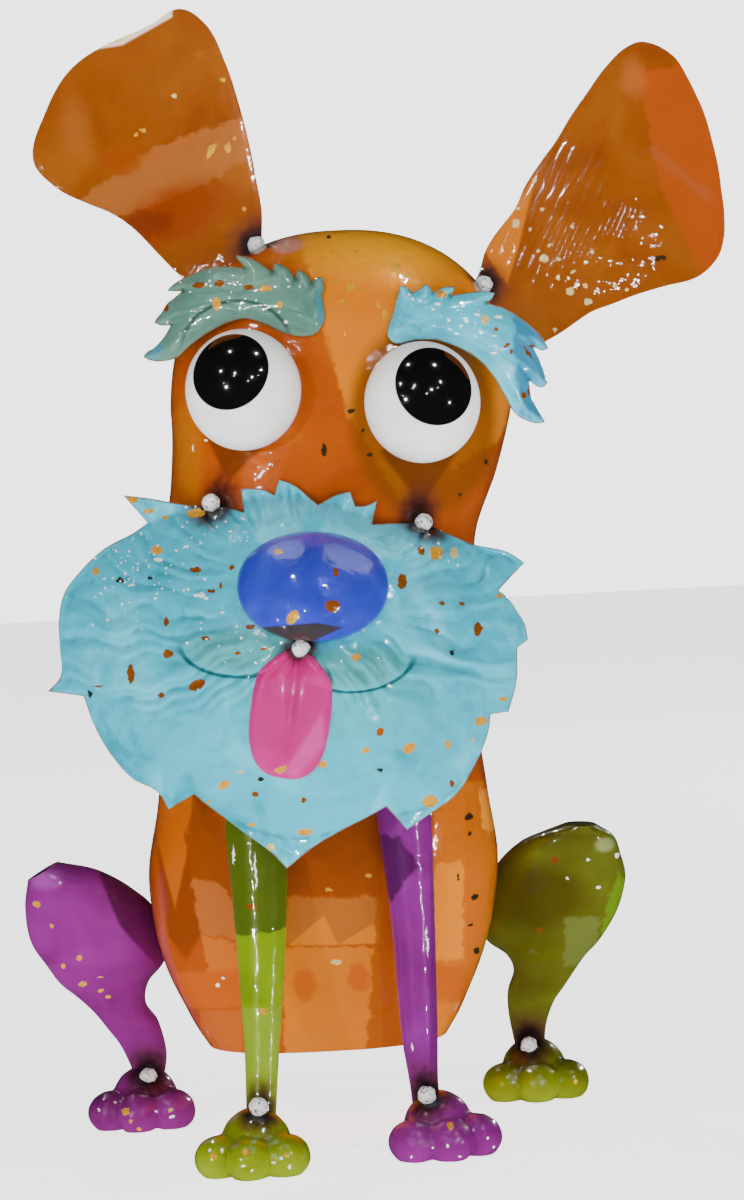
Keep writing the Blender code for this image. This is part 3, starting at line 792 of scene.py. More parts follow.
@dataclass(frozen=True)
class Burn:
    """Heat marks of a weld: black near it, violet brown further out."""

    place: Place
    radius: float = 12.0
    stretch: float = 1.0
    soot: Colour = (16, 7, 14)
    scorch: Colour = (84, 36, 30)

    def paint(self, coat: Coat) -> None:
        """Lay this burn over the coat.

        Args:
            coat: the coat under way.
        """
        shader = coat.shader
        radii = (self.radius * UNIT, self.radius * UNIT, self.radius * self.stretch * UNIT)
        far = shader.length(shader.local(coat.canvas.drawing.metres(self.place), radii, 0.0, coat.rough))
        coat.lay(shader.band(far, 0.45, 1.15, 0.75, 0.0), self.scorch)
        coat.lay(shader.band(far, 0.30, 0.85, 0.97, 0.0), self.soot)


@dataclass(frozen=True)
class GlintPatch:
    """An oval patch strewn with painted glints."""

    pixel: Pixel
    size: Pixel
    turn: float = 0.0
    amount: float = 0.4


@dataclass(frozen=True)
class Fleck:
    """One foil fleck or painted glint, by its pixel and half sizes in pixels."""

    foil: FoilAndGlint
    pixel: Pixel
    size: Pixel
    turn: float = 0.0


@dataclass(frozen=True)
class Enamel:
    """Candy enamel under a clear coat, with weld burns, foil flecks, and painted shade, shadows,
    highlights, reflections and glints.
    """

    colour: Colour
    light: Colour
    dark: Colour
    mottle: float = 30.0
    crisp: float = 0.14
    metallic: float = 0.12
    roughness: float = 0.34
    coat_roughness: float = 0.03
    base_shine: float = 0.12
    dents: float = 0.3
    # strength of the painted shade in hollows and of the painted highlight on ridges
    hollow_shade: float = 0.0
    fleck_scale: float = 46.0
    fleck_reach: float = 0.10
    edge: Colour | None = None
    patches: tuple[Zone | CreaseShadow | Panel, ...] = ()
    burns: tuple[Burn, ...] = ()
    flecks: tuple[Fleck, ...] = ()
    glint_patches: tuple[GlintPatch, ...] = ()
    plain_from: float | None = None

    def material(self, name: str, canvas: Canvas) -> bpy.types.Material:
        """Build the enamel's material.

        Args:
            name: the material's name.
            canvas: the piece's front, that patches and flecks are placed on.

        Returns:
            The material.
        """
        shader = Shader(name)
        cloud = shader.grain(self.mottle, 4.0, 0.6)
        high = shader.band(cloud, 0.60 - self.crisp, 0.60 + self.crisp)
        low = shader.band(cloud, 0.36 + self.crisp, 0.36 - self.crisp)
        paler = shader.mix(high, linear(self.colour), linear(self.light))
        plain = shader.mix(low, paler, linear(self.dark))
        coat = Coat(shader, canvas, plain, shader.warped(230.0, 0.006))
        for patch in self.patches:
            patch.paint(coat)
        if self.plain_from is not None:
            depth = shader.beyond(Vector((0.0, 1.0, 0.0)), self.plain_from, coat.rough)
            coat.colour = shader.mix(shader.band(depth, -0.004, 0.004), coat.colour, plain)
        if self.hollow_shade:
            self.paint_hollow_shade(coat)
        if self.edge:
            self.wear_edge(coat)
        for burn in self.burns:
            burn.paint(coat)
        self.scatter(coat)
        self.place_flecks(coat)
        if self.glint_patches:
            self.strew_glints(coat)
        surface = shader.surface
        shader.put(surface.inputs["Base Color"], coat.colour)
        surface.inputs["Metallic"].default_value = self.metallic
        wear = shader.band(shader.grain(240.0, 3.0), 0.3, 0.8, self.roughness - 0.06, self.roughness + 0.08)
        shader.put(surface.inputs["Roughness"], wear)
        surface.inputs["Specular IOR Level"].default_value = self.base_shine
        surface.inputs["Coat Weight"].default_value = 1.0
        surface.inputs["Coat Roughness"].default_value = self.coat_roughness
        uneven = self.peel(shader)
        shader.put(surface.inputs["Normal"], uneven)
        shader.put(surface.inputs["Coat Normal"], uneven)
        return shader.material

    def paint_hollow_shade(self, coat: Coat) -> None:
        """Paint shade into the hollows and a highlight on the ridges, by how sharply the surface bends.

        Args:
            coat: the coat under way.
        """
        shader = coat.shader
        bend = shader.node("NewGeometry").outputs["Pointiness"]
        coat.lay(shader.band(bend, 0.470, 0.499, self.hollow_shade, 0.0), [0.45 * value for value in self.dark])
        coat.lay(shader.band(bend, 0.503, 0.530, 0.0, 0.6 * self.hollow_shade), self.light)

    def wear_edge(self, coat: Coat) -> None:
        """Brown the coat where it has pulled back from the sheet's edge.

        Args:
            coat: the coat under way.
        """
        shader = coat.shader
        rim = shader.node("Attribute")
        rim.attribute_name = "rim"
        uneven = shader.math("MULTIPLY_ADD", shader.grain(180.0, 2.0), 1.6, -0.7)
        far = shader.math("SUBTRACT", rim.outputs["Fac"], uneven)
        coat.lay(shader.band(far, 0.15, 0.6, 0.75, 0.0), self.edge)

    def scatter(self, coat: Coat) -> None:
        """Scatter small flecks all over.

        Args:
            coat: the coat under way.
        """
        shader = coat.shader
        distance, split = shader.cells(self.fleck_scale, shader.warped(500.0, 0.0016))
        reach = shader.band(split.outputs[0], 0.45, 1.0, 0.0, self.fleck_reach)
        inside = shader.math("LESS_THAN", distance, reach)
        gold = shader.band(split.outputs[1], 0.35, 0.65)
        tint = shader.mix(gold, linear(FoilAndGlint.BROWN.value), linear(FoilAndGlint.GOLD.value))
        coat.colour = shader.mix(inside, coat.colour, tint)

    def place_flecks(self, coat: Coat) -> None:
        """Lay the foil flecks and the painted glints that the photograph shows.

        Args:
            coat: the coat under way.
        """
        shader = coat.shader
        chips = shader.warped(480.0, 0.0026)
        grain = shader.grain(800.0, 2.0)
        for foil in FoilAndGlint:
            nearest = None
            for fleck in self.flecks:
                if fleck.foil is foil:
                    far = coat.far(fleck, chips)
                    nearest = far if nearest is None else shader.math("MINIMUM", nearest, far)
            if nearest is not None:
                share = shader.band(nearest, 0.88, 1.12, 1.0, 0.0)
                shade = 0.95 if foil is FoilAndGlint.GLINT else 0.55
                dull = linear([shade * value for value in foil.value])
                coat.colour = shader.mix(share, coat.colour, shader.mix(grain, linear(foil.value), dull))

    def strew_glints(self, coat: Coat) -> None:
        """Lay the painted glints of the glint patches.

        Args:
            coat: the coat under way.
        """
        shader = coat.shader
        thick = None
        rough = shader.warped(60.0, 0.012)
        for patch in self.glint_patches:
            share = shader.band(coat.far(patch, rough), 0.3, 1.1, patch.amount, 0.0)
            thick = share if thick is None else shader.math("MAXIMUM", thick, share)
        distance, split = shader.cells(520.0, shader.warped(900.0, 0.0014))
        chosen = shader.math("LESS_THAN", split.outputs[0], thick)
        reach = shader.band(split.outputs[1], 0.0, 1.0, 0.12, 0.40)
        inside = shader.math("MULTIPLY", chosen, shader.math("LESS_THAN", distance, reach))
        coat.lay(inside, FoilAndGlint.GLINT.value)

    def peel(self, shader: Shader) -> Socket:
        """Slightly uneven surface of thick enamel.

        Args:
            shader: the material under way.

        Returns:
            The normal's socket.
        """
        height = shader.math("MULTIPLY_ADD", shader.grain(420.0, 2.0), 0.22, shader.grain(130.0, 1.0))
        bump = shader.node("Bump")
        bump.inputs["Strength"].default_value = self.dents
        bump.inputs["Distance"].default_value = 0.0016
        shader.put(bump.inputs["Height"], height)
        return bump.outputs[0]


@dataclass(frozen=True)
class EyePaint:
    """Satin warm white ball with a glossy black pupil."""

    centre: Place
    radii: Place
    lean: Spot
    reach: float = 42.6

    def material(self, name: str, drawing: Drawing) -> bpy.types.Material:
        """Build the eye's material.

        Args:
            name: the material's name.
            drawing: the drawing that the eye is placed in.

        Returns:
            The material.
        """
        shader = Shader(name)
        radii = [radius * UNIT for radius in self.radii]
        way = shader.vector("NORMALIZE", shader.local(drawing.metres(self.centre), radii, 0.0))
        gaze = (self.lean[0], -math.sqrt(1 - self.lean[0] ** 2 - self.lean[1] ** 2), self.lean[1])
        edge = math.cos(math.radians(self.reach))
        pupil = shader.band(shader.vector("DOT_PRODUCT", way, gaze), edge - 0.008, edge + 0.008)
        cloud = shader.grain(60.0, 3.0)
        white = shader.mix(shader.band(cloud, 0.35, 0.75), linear((250, 249, 246)), linear((238, 236, 230)))
        surface = shader.surface
        shader.put(surface.inputs["Base Color"], shader.mix(pupil, white, linear((9, 8, 9))))
        shader.put(surface.inputs["Roughness"], shader.band(pupil, 0.0, 1.0, 0.38, 0.10))
        shader.put(surface.inputs["Coat Weight"], shader.band(pupil, 0.0, 1.0, 0.25, 1.0))
        surface.inputs["Coat Roughness"].default_value = 0.05
        return shader.material


@dataclass(frozen=True)
class WeldMetal:
    """Bright weld metal with dark hollows."""

    light: Colour = (246, 246, 244)
    dark: Colour = (120, 112, 114)

    def material(self, name: str) -> bpy.types.Material:
        """Build the weld's material.

        Args:
            name: the material's name.

        Returns:
            The material.
        """
        shader = Shader(name)
        cloud = shader.grain(620.0, 3.0)
        colour = shader.mix(shader.band(cloud, 0.46, 0.32), linear(self.light), linear(self.dark))
        surface = shader.surface
        shader.put(surface.inputs["Base Color"], colour)
        surface.inputs["Metallic"].default_value = 0.25
        shader.put(surface.inputs["Roughness"], shader.band(shader.grain(500.0), 0.3, 0.7, 0.22, 0.48))
        bump = shader.node("Bump")
        bump.inputs["Distance"].default_value = 0.0008
        shader.put(bump.inputs["Height"], shader.grain(900.0, 3.0))
        shader.put(surface.inputs["Normal"], bump.outputs[0])
        return shader.material


# Sub-assemblies

@dataclass
class Trunk:
    """Trunk and head in one shell."""

    base: float = 40.0
    top: float = 406.0
    dome_share: float = 0.787
    dome_power: float = 2.3
    section_power: float = 2.4
    middle_y: float = 15.0
    depth: float = 124.0
    sides: int = 168
    wall_rings: int = 120
    dome_rings: int = 44
    dome_turn: float = 84.0
    dent: float = 0.35
    half_widths: tuple[Spot, ...] = (
        (0.0, 54.5), (0.026, 60.5), (0.051, 65.0), (0.082, 70.2), (0.108, 73.6), (0.15, 77.4), (0.22, 79.8),
        (0.30, 75.5), (0.43, 70.0), (0.61, 71.0), (0.70, 74.5), (0.787, 78.0))
    leans: tuple[Spot, ...] = ((0.0, -8.4), (0.15, -7.3), (0.30, -5.0), (0.61, -0.7), (0.70, 8.0),
                               (0.787, 13.0), (1.0, 14.0))
    depth_shares: tuple[Spot, ...] = ((0.0, 0.70), (0.08, 0.86), (0.22, 1.0), (0.43, 0.90), (0.61, 0.92),
                                      (0.787, 0.97))

    def section(self, share: float) -> tuple[float, float, float]:
        """Middle across, half width and half depth at a share of the height.

        Args:
            share: the share of the height.

        Returns:
            The three lengths.
        """
        rise = max((share - self.dome_share) / (1.0 - self.dome_share), 0.0)
        dome = max(1.0 - rise ** self.dome_power, 0.0) ** (1.0 / self.dome_power)
        return (spline(self.leans, share), spline(self.half_widths, share) * dome,
                0.5 * self.depth * spline(self.depth_shares, share) * dome)

    def front(self, x: float, z: float) -> float:
        """Y of the front surface, or of its middle beside the trunk.

        Args:
            x: the place across.
            z: the height.

        Returns:
            The Y.
        """
        share = min(max((z - self.base) / (self.top - self.base), 0.0), 1.0)
        middle, half_width, half_depth = self.section(share)
        across = min(abs(x - middle) / max(half_width, 1e-6), 1.0)
        bulge = (1.0 - across ** self.section_power) ** (1.0 / self.section_power)
        return self.middle_y - half_depth * bulge

    def build(self, drawing: Drawing, finish: Enamel) -> bpy.types.Object:
        """Loft the shell, slightly dented, and put it in the scene.

        Args:
            drawing: the drawing that it is placed in.
            finish: its enamel.

        Returns:
            The piece.
        """
        shares = [self.dome_share * k / self.wall_rings for k in range(self.wall_rings)]
        for k in range(self.dome_rings + 1):
            rise = math.sin(math.radians(self.dome_turn * k / self.dome_rings))
            shares.append(self.dome_share + (1.0 - self.dome_share) * rise)
        body = Body()
        for share in shares:
            middle, half_width, half_depth = self.section(share)
            z = self.base + share * (self.top - self.base)
            for k in range(self.sides):
                turn = 2 * math.pi * k / self.sides
                x = middle + half_width * power(math.cos(turn), 2 / self.section_power)
                y = self.middle_y + half_depth * power(math.sin(turn), 2 / self.section_power)
                dent = 1.0 + self.dent / half_width * (ripple(x / 26, z / 34, y / 26) - 1.0)
                y = self.middle_y + (y - self.middle_y) * dent
                body.verts.append((middle + (x - middle) * dent, y, z))
        body.tube(self.sides, len(shares))
        paint = finish.material("orange_paint", Canvas(drawing, self.front))
        return body.to_piece(drawing, "trunk_shell", ["body"], Slot.ORANGE, paint)


@dataclass
class Beard:
    """Muzzle, moustache and beard pressed from one sheet."""

    centre: Spot = (-9.0, 222.0)
    nose_at: Spot = (-3.0, 249.0)
    bulge: float = 36.0
    top: float = 283.0
    sweep: float = 12.0
    sweep_at: float = 46.0
    sweep_power: float = 1.5
    fall: float = 0.25
    lobe_rise: float = 5.5
    lobes: tuple[tuple[float, float, float, float], ...] = ((-36.0, 227.0, 25.0, 14.0),
                                                            (14.0, 217.0, 23.0, 13.0))
    shift: float = 0.0
    outline: tuple[tuple[float, float, int], ...] = (
        (138, 104, 1), (134, 94, 0), (127, 80, 0), (116, 69, 0), (111, 64, 1), (109, 74, 1), (105, 72, 0),
        (101, 70, 0), (98, 67, 1), (95.5, 73.5, 1), (93, 72, 0), (90, 70, 0), (86, 66, 0), (81, 62, 1),
        (74, 68, 0), (70, 70.5, 1), (66.5, 65, 1), (63, 67, 0), (60, 71, 1), (57.5, 61, 1), (50, 67, 0),
        (42, 75, 0), (36, 79, 0), (28, 86, 0), (21, 99, 0), (17, 104, 1), (12.5, 89, 1), (10, 92, 0),
        (6, 95, 0), (2, 98, 0), (-2, 99, 1), (-4, 94, 1), (-13, 95, 0), (-21, 94.5, 1), (-23, 87, 1),
        (-28, 89, 0), (-39, 91, 0), (-47, 92, 0), (-56, 90, 0), (-63, 90, 1), (-65, 76.5, 1), (-70, 77, 0),
        (-80, 79, 0), (-89, 84, 0), (-97, 94, 1), (-102, 88, 0), (-109, 84, 0), (-117, 81, 0),
        (-125, 79.5, 0), (-129.5, 79, 1), (-132.5, 92, 1), (-138, 90, 0), (-145, 95, 0), (-154, 98, 0),
        (-162, 99.5, 0), (-169.5, 100.5, 1), (-172, 117, 1), (-175, 110, 0), (-182, 109.5, 0),
        (-188, 110.5, 0), (-194, 110, 0), (-200, 105.5, 0), (-208, 98.5, 0), (-216, 90, 0),
        (-220.5, 87.5, 1))
    egg: tuple[Spot, ...] = (
        (-180, 108), (-160, 101), (-140, 91), (-120, 81), (-95, 81), (-70, 79), (-50, 89), (-20, 92),
        (0, 96), (18, 94), (35, 79), (60, 63), (90, 65), (120, 72), (140, 87), (155, 99), (170, 108),
        (180, 108))

    def rim_y(self, x: float, z: float) -> float:
        """Y of the sheet's edge surface."""
        bent = self.sweep * (abs(x) / self.sweep_at) ** self.sweep_power
        return self.shift + bent - self.fall * (self.top - z)

    def lobe(self, x: float, z: float) -> float:
        """Height of the two moustache lobes, crisp below and blended in above.

        Args:
            x: the place across.
            z: the height.

        Returns:
            The height in the drawing's units.
        """
        rise = 0.0
        for middle_x, middle_z, half_x, half_z in self.lobes:
            far = ((x - middle_x) / half_x) ** 2 + ((z - middle_z) / half_z) ** 2
            if far < 1.0:
                blend = 1.0 - 0.9 * ease(middle_z - 0.2 * half_z, middle_z + 0.95 * half_z, z)
                rise = max(rise, math.sqrt(1.0 - far) * blend)
        return rise * self.lobe_rise

    def hair(self, x: float, z: float) -> float:
        """Height of the pressed strands that fan out round the nose.

        Args:
            x: the place across.
            z: the height.

        Returns:
            The height in the drawing's units.
        """
        dx, dz = x - self.nose_at[0], z - self.nose_at[1]
        reach = math.hypot(dx, 1.3 * dz)
        turn = math.atan2(dx, dz) + math.copysign(0.0042, dx) * reach
        turn += 0.10 * ripple(x / 17, z / 17, 3.0)
        strands = ripple(turn * 9.0, reach / 75, 7.0) + 0.6 * ripple(turn * 21.0, reach / 45, 11.0)
        shown = ease(34.0, 52.0, reach) * ease(188.0, 222.0, z + 0.10 * abs(dx))
        return shown * 2.6 * strands

    def front(self, x: float, z: float, far: float) -> float:
        """Y of the front surface at (x, z), far from the edge.

        Args:
            x: the place across.
            z: the height.
            far: the distance to the edge.

        Returns:
            The Y.
        """
        swell = 1.4 * ripple(x / 15, z / 15, 1.0) + 0.8 * ripple(x / 6, z / 6, 2.0)
        relief = (self.hair(x, z) + swell) * ease(-1.0, 4.0, far)
        puff = 0.9 * (ease(-3.0, 5.0, far) - 0.5)
        return self.plain_front(x, z) - relief - puff

    def settle(self, drawing: Drawing) -> None:
        """Set the sheet where the CAD node stands, by the edge that reaches furthest back.

        Args:
            drawing: the drawing that it is placed in.
        """
        places = [polar(self.centre, angle, radius) for angle, radius, _ in self.outline]
        furthest = max(self.rim_y(x, z) for x, z in places) + SHEET
        high = drawing.units(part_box("beard")[1])
        self.shift += high.y - furthest

    def plain_front(self, x: float, z: float) -> float:
        """Y of the pressed form without its strands.

        Args:
            x: the place across.
            z: the height.

        Returns:
            The Y.
        """
        dx, dz = x - self.centre[0], z - self.centre[1]
        reach = math.hypot(dx, dz) / spline(self.egg, math.degrees(math.atan2(dz, dx)))
        return self.rim_y(x, z) - self.bulge * max(1.0 - reach ** 2, 0.0) - self.lobe(x, z)

    def build(self, drawing: Drawing, finish: Enamel) -> bpy.types.Object:
        """Fill the outline, press the relief and put the sheet in the scene.

        Args:
            drawing: the drawing that it is placed in.
            finish: its enamel.

        Returns:
            The piece.
        """
        points = [polar(self.centre, angle, radius) for angle, radius, _ in self.outline]
        corners = {k for k, point in enumerate(self.outline) if point[2]}
        creases = []
        for middle_x, middle_z, half_x, half_z in self.lobes:
            for grow in (0.94, 0.985, 1.0, 1.02):
                for k in range(180, 362, 2):
                    x, z = polar((0.0, 0.0), k, grow)
                    creases.append((middle_x + half_x * x, middle_z + half_z * z))
        sheet = Sheet(rounded(points, corners, 0.7), self.front, spacing=1.05, extra=creases)
        paint = finish.material("beard_paint", Canvas(drawing, self.plain_front))
        return sheet.body().to_piece(drawing, "beard_sheet", ["beard"], Slot.TURQUOISE, paint)


@dataclass
class Boss:
    """A pressed plate on the beard: the nose or the tongue."""

    name: str
    node: str
    slot: Slot
    place: Spot
    turn: float
    size: Spot
    rise: float
    round_power: float
    groove: float = 0.0
    bead: float = 0.0
    taper: float = 0.0
    edge_points: int = 240

    def waist(self, upward: float) -> float:
        """Share of the plate's width at a height from -1 to 1, less towards a tapered top."""
        return 1.0 - self.taper * ease(0.5, 1.2, upward)

    def local(self, x: float, z: float) -> tuple[float, float, float]:
        """Place across and up the plate as shares of its half sizes, and the way to its edge.

        Args:
            x: the place across.
            z: the height.

        Returns:
            The two shares, and the way to the edge, 1 on it.
        """
        turn = math.radians(self.turn)
        dx, dz = x - self.place[0], z - self.place[1]
        upward = (dz * math.cos(turn) - dx * math.sin(turn)) / (0.5 * self.size[1])
        across = (dx * math.cos(turn) + dz * math.sin(turn)) / (0.5 * self.size[0] * self.waist(upward))
        far = abs(across) ** self.round_power + abs(upward) ** self.round_power
        return across, upward, far ** (1.0 / self.round_power)

    def build(self, drawing: Drawing, finish: Enamel, beard: Beard) -> bpy.types.Object:
        """Press the plate over the beard's surface and put it in the scene.

        Args:
            drawing: the drawing that it is placed in.
            finish: its enamel.
            beard: the beard under it.

        Returns:
            The piece.
        """
        turn = math.radians(self.turn)
        outline = []
        for k in range(self.edge_points):
            angle = 2 * math.pi * k / self.edge_points
            height = power(math.sin(angle), 2 / self.round_power)
            across = power(math.cos(angle), 2 / self.round_power)
            across *= 0.5 * self.size[0] * self.waist(height)
            upward = 0.5 * self.size[1] * height
            outline.append((self.place[0] + across * math.cos(turn) - upward * math.sin(turn),
                            self.place[1] + across * math.sin(turn) + upward * math.cos(turn)))

        def front(x: float, z: float, _: float) -> float:
            """Y of the plate's front.

            Args:
                x: the place across.
                z: the height.

            Returns:
                The Y.
            """
            across, upward, far = self.local(x, z)
            dome = math.sqrt(max(1.0 - min(far, 1.0) ** 2, 0.0))
            groove = self.groove * math.exp(-(across / 0.13) ** 2) * ease(-0.45, 0.2, upward)
            bead = self.bead * math.exp(-((far - 0.88) / 0.07) ** 2)
            return beard.plain_front(x, z) - SHEET - self.rise * dome + groove - bead

        paint = finish.material(self.name + "_paint", Canvas(drawing, beard.plain_front))
        sheet = Sheet(outline, front, spacing=0.8)
        return sheet.body().to_piece(drawing, self.name, [self.node], self.slot, paint)


@dataclass
class Ear:
    """A flat ear, cupped towards the front, with a turned edge."""

    name: str
    node: str
    centre: Spot
    outline: tuple[Spot, ...]
    plane_y: float = 8.0
    cup: float = 9.0
    cup_middle: float = 0.4
    ribs: float = 0.0
    fan_at: Spot = (0.0, 0.0)
    fan_turn: float = 0.0
    fan_size: float = 30.0
    edge_points: int = 420

    def front(self, x: float, z: float, far: float) -> float:
        """Y of the front surface.

        Args:
            x: the place across.
            z: the height.
            far: the distance to the edge.

        Returns:
            The Y.
        """
        widest = max(radius for _, radius in self.outline)
        dx, dz = x - self.centre[0], z - self.centre[1]
        reach = math.hypot(dx, dz) / widest
        slant = math.radians(self.fan_turn)
        across = (x - self.fan_at[0]) * math.cos(slant) + (z - self.fan_at[1]) * math.sin(slant)
        away = math.hypot(x - self.fan_at[0], z - self.fan_at[1])
        fan = self.ribs * math.cos(2 * math.pi * across / 4.6) * math.exp(-(away / self.fan_size) ** 2)
        swell = 0.5 * ripple(x / 24, z / 24, 5.0)
        lip = 0.3 * math.exp(-(far / 1.2) ** 2)
        return self.plane_y - SHEET + self.cup * (self.cup_middle - reach ** 2) - fan - swell - lip

    def build(self, drawing: Drawing, finish: Enamel) -> bpy.types.Object:
        """Fill the outline and put the ear in the scene.

        Args:
            drawing: the drawing that it is placed in.
            finish: its enamel.

        Returns:
            The piece.
        """
        turned = [(-angle, radius) for angle, radius in self.outline]
        before = [(angle - 360, radius) for angle, radius in turned[-2:]]
        looped = before + turned + [(angle + 360, radius) for angle, radius in turned[:2]]
        edge = []
        for k in range(self.edge_points):
            angle = turned[0][0] + 360.0 * k / self.edge_points
            edge.append(polar(self.centre, -angle, spline(looped, angle)))
        canvas = Canvas(drawing, lambda x, z: self.front(x, z, 9.0))
        paint = finish.material(self.name + "_paint", canvas)
        sheet = Sheet(edge, self.front, spacing=1.3)
        return sheet.body().to_piece(drawing, self.name, [self.node], Slot.EAR, paint)


@dataclass
class Brow:
    """A puffy pressed eyebrow with tufts along its upper edge, drawn by its pixels in the photograph."""

    name: str
    node: str
    outline: tuple[tuple[float, float, int], ...]
    eye: Spot
    head_x: float = 14.0
    sweep: float = 19.2
    sweep_at: float = 80.0
    tilt: float = 0.35
    rise: float = 5.0
    spiral: float = 16.0
    depth: float = -50.0
    shift: float = 0.0

    def rest(self, x: float, z: float) -> float:
        """Y of the sheet's edge surface."""
        return self.sweep * ((x - self.head_x) / self.sweep_at) ** 2 + self.tilt * z + self.shift

    def front(self, x: float, z: float, far: float) -> float:
        """Y of the front surface, with strands that follow the brow round the eye.

        Args:
            x: the place across.
            z: the height.
            far: the distance to the edge.

        Returns:
            The Y.
        """
        dx, dz = x - self.eye[0], z - self.eye[1]
        turn = math.atan2(dx, dz)
        across = math.hypot(dx, dz) - self.spiral * abs(turn)
        strands = 0.55 * ripple(across / 3.4, 1.4 * turn, self.head_x)
        strands += 0.25 * ripple(across / 1.6, 3.0 * turn, 4.0)
        puff = self.rise * (1.0 - math.exp(-far / 4.2))
        return self.rest(x, z) - puff - strands * ease(0.0, 4.0, far)

    def build(self, drawing: Drawing, finish: Enamel) -> bpy.types.Object:
        """Fill the outline where the CAD node stands and put the eyebrow in the scene.

        Args:
            drawing: the drawing that it is placed in.
            finish: its enamel.

        Returns:
            The piece.
        """
        points = [drawing.sight.under((u, v), self.depth) for u, v, _ in self.outline]
        corners = {k for k, point in enumerate(self.outline) if point[2]}
        furthest = max(self.rest(x, z) for x, z in points) + SHEET
        self.shift += drawing.units(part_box(self.node)[1]).y - furthest
        sheet = Sheet(rounded(points, corners, 0.5), self.front, spacing=0.8)
        paint = finish.material(self.name + "_paint", Canvas(drawing, self.rest))
        return sheet.body().to_piece(drawing, self.name, [self.node], Slot.TURQUOISE, paint)


@dataclass
class Eye:
    """A ball set in the head."""

    name: str
    node: str
    place: Spot
    lean: Spot
    width: float = 50.5
    height: float = 53.0
    stand: float = 8.0

    def build(self, drawing: Drawing, trunk: Trunk) -> bpy.types.Object:
        """Make the ball with its painted pupil and put it in the scene.

        Args:
            drawing: the drawing that it is placed in.
            trunk: the head that it is set in.

        Returns:
            The piece.
        """
        x, z = self.place
        centre = (x, trunk.front(x, z) - self.stand, z)
        radii = (0.5 * self.width, 0.5 * self.width, 0.5 * self.height)
        mesh = bpy.data.meshes.new(self.name)
        ball = bmesh.new()
        stand = Matrix.Translation(drawing.metres(centre))
        stretch = Matrix.Diagonal((*(radius * UNIT for radius in radii), 1.0))
        bmesh.ops.create_uvsphere(ball, u_segments=96, v_segments=64, radius=1.0, matrix=stand @ stretch)
        ball.to_mesh(mesh)
        ball.free()
        paint = EyePaint(centre, radii, self.lean).material(self.name + "_paint", drawing)
        return dress(mesh, self.name, [self.node], paint, 60.0)


@dataclass
class FrontLeg:
    """A tapered tube of folded sheet from the chest to the ankle."""

    name: str
    node: str
    slot: Slot
    stations: tuple[tuple[float, float, float], ...]
    foot_y: float
    depth: float = 21.0
    fold_power: float = 1.7
    stand: float = 8.0
    rings: int = 90
    sides: int = 48

    def build(self, drawing: Drawing, finish: Enamel, trunk: Trunk) -> bpy.types.Object:
        """Loft the tube and put it in the scene.

        Args:
            drawing: the drawing that it is placed in.
            finish: its enamel.
            trunk: the chest that it meets.

        Returns:
            The piece.
        """
        top_z, top_x, widest = self.stations[0]
        foot_z = self.stations[-1][0]
        top_y = trunk.front(top_x, top_z) - self.stand
        rising = sorted(self.stations)
        middles = [(z, middle) for z, middle, _ in rising]
        halves = [(z, half) for z, _, half in rising]
        body = Body()
        for ring in range(self.rings):
            z = foot_z + (top_z - foot_z) * ring / (self.rings - 1)
            share = (top_z - z) / (top_z - foot_z)
            half_width = spline(halves, z)
            half_depth = 0.5 * self.depth * half_width / widest
            y = top_y + (self.foot_y - top_y) * share
            for k in range(self.sides):
                turn = 2 * math.pi * k / self.sides
                across = half_width * power(math.cos(turn), 2 / self.fold_power)
                back = half_depth * power(math.sin(turn), 2 / self.fold_power)
                body.verts.append((spline(middles, z) + across, y + back, z))
        body.tube(self.sides, self.rings)
        slope = (self.foot_y - top_y) / (top_z - foot_z)
        canvas = Canvas(drawing, lambda x, z: top_y + slope * (top_z - z))
        paint = finish.material(self.name + "_paint", canvas)
        return body.to_piece(drawing, self.name, [self.node], self.slot, paint)


@dataclass
class RearLeg:
    """A folded thigh and shin in one tube that narrows to the ankle."""

    name: str
    node: str
    slot: Slot
    sections: tuple[tuple[Spot, Spot], ...]
    thigh_y: float
    ankle_y: float
    ridge: Spot = (0.0, 0.0)
    fold_power: float = 1.7
    thigh_depth: float = 34.0
    shin_depth: float = 17.0
    least: float = 0.72
    rings: int = 110
    sides: int = 64

    def edge_at(self, side: int, axis: int, share: float) -> float:
        """Smooth left or right edge of the leg at a share of its length."""
        last = len(self.sections) - 1
        return spline([(k / last, section[side][axis]) for k, section in enumerate(self.sections)], share)

    def build(self, drawing: Drawing, finish: Enamel) -> bpy.types.Object:
        """Loft the tube and put it in the scene.

        Args:
            drawing: the drawing that it is placed in.
            finish: its enamel.

        Returns:
            The piece.
        """
        widest = max(math.dist(left, right) for left, right in self.sections)
        body = Body()
        for ring in range(self.rings):
            share = ring / (self.rings - 1)
            left = (self.edge_at(0, 0, share), self.edge_at(0, 1, share))
            right = (self.edge_at(1, 0, share), self.edge_at(1, 1, share))
            eased = share * share * (3 - 2 * share)
            fullness = math.dist(left, right) / widest
            depth = self.thigh_depth * (1 - eased) + self.shin_depth * eased
            half_depth = 0.5 * depth * max(fullness ** 0.5, self.least)
            apex = self.ridge[0] + (self.ridge[1] - self.ridge[0]) * min(2.0 * share, 1.0)
            y = self.thigh_y + (self.ankle_y - self.thigh_y) * eased
            for k in range(self.sides):
                turn = 2 * math.pi * k / self.sides
                across = power(math.cos(turn), 2 / self.fold_power)
                slope = (across + 1) / (apex + 1) if across < apex else (1 - across) / (1 - apex)
                swell = (1 - (1 - slope) ** self.fold_power) ** (1 / self.fold_power)
                body.verts.append((left[0] + (right[0] - left[0]) * (across + 1) / 2,
                                   y + math.copysign(half_depth * swell, math.sin(turn)),
                                   left[1] + (right[1] - left[1]) * (across + 1) / 2))
        body.tube(self.sides, self.rings)
        canvas = Canvas(drawing, lambda x, z: self.thigh_y - 0.4 * self.thigh_depth)
        paint = finish.material(self.name + "_paint", canvas)
        return body.to_piece(drawing, self.name, [self.node], self.slot, paint)


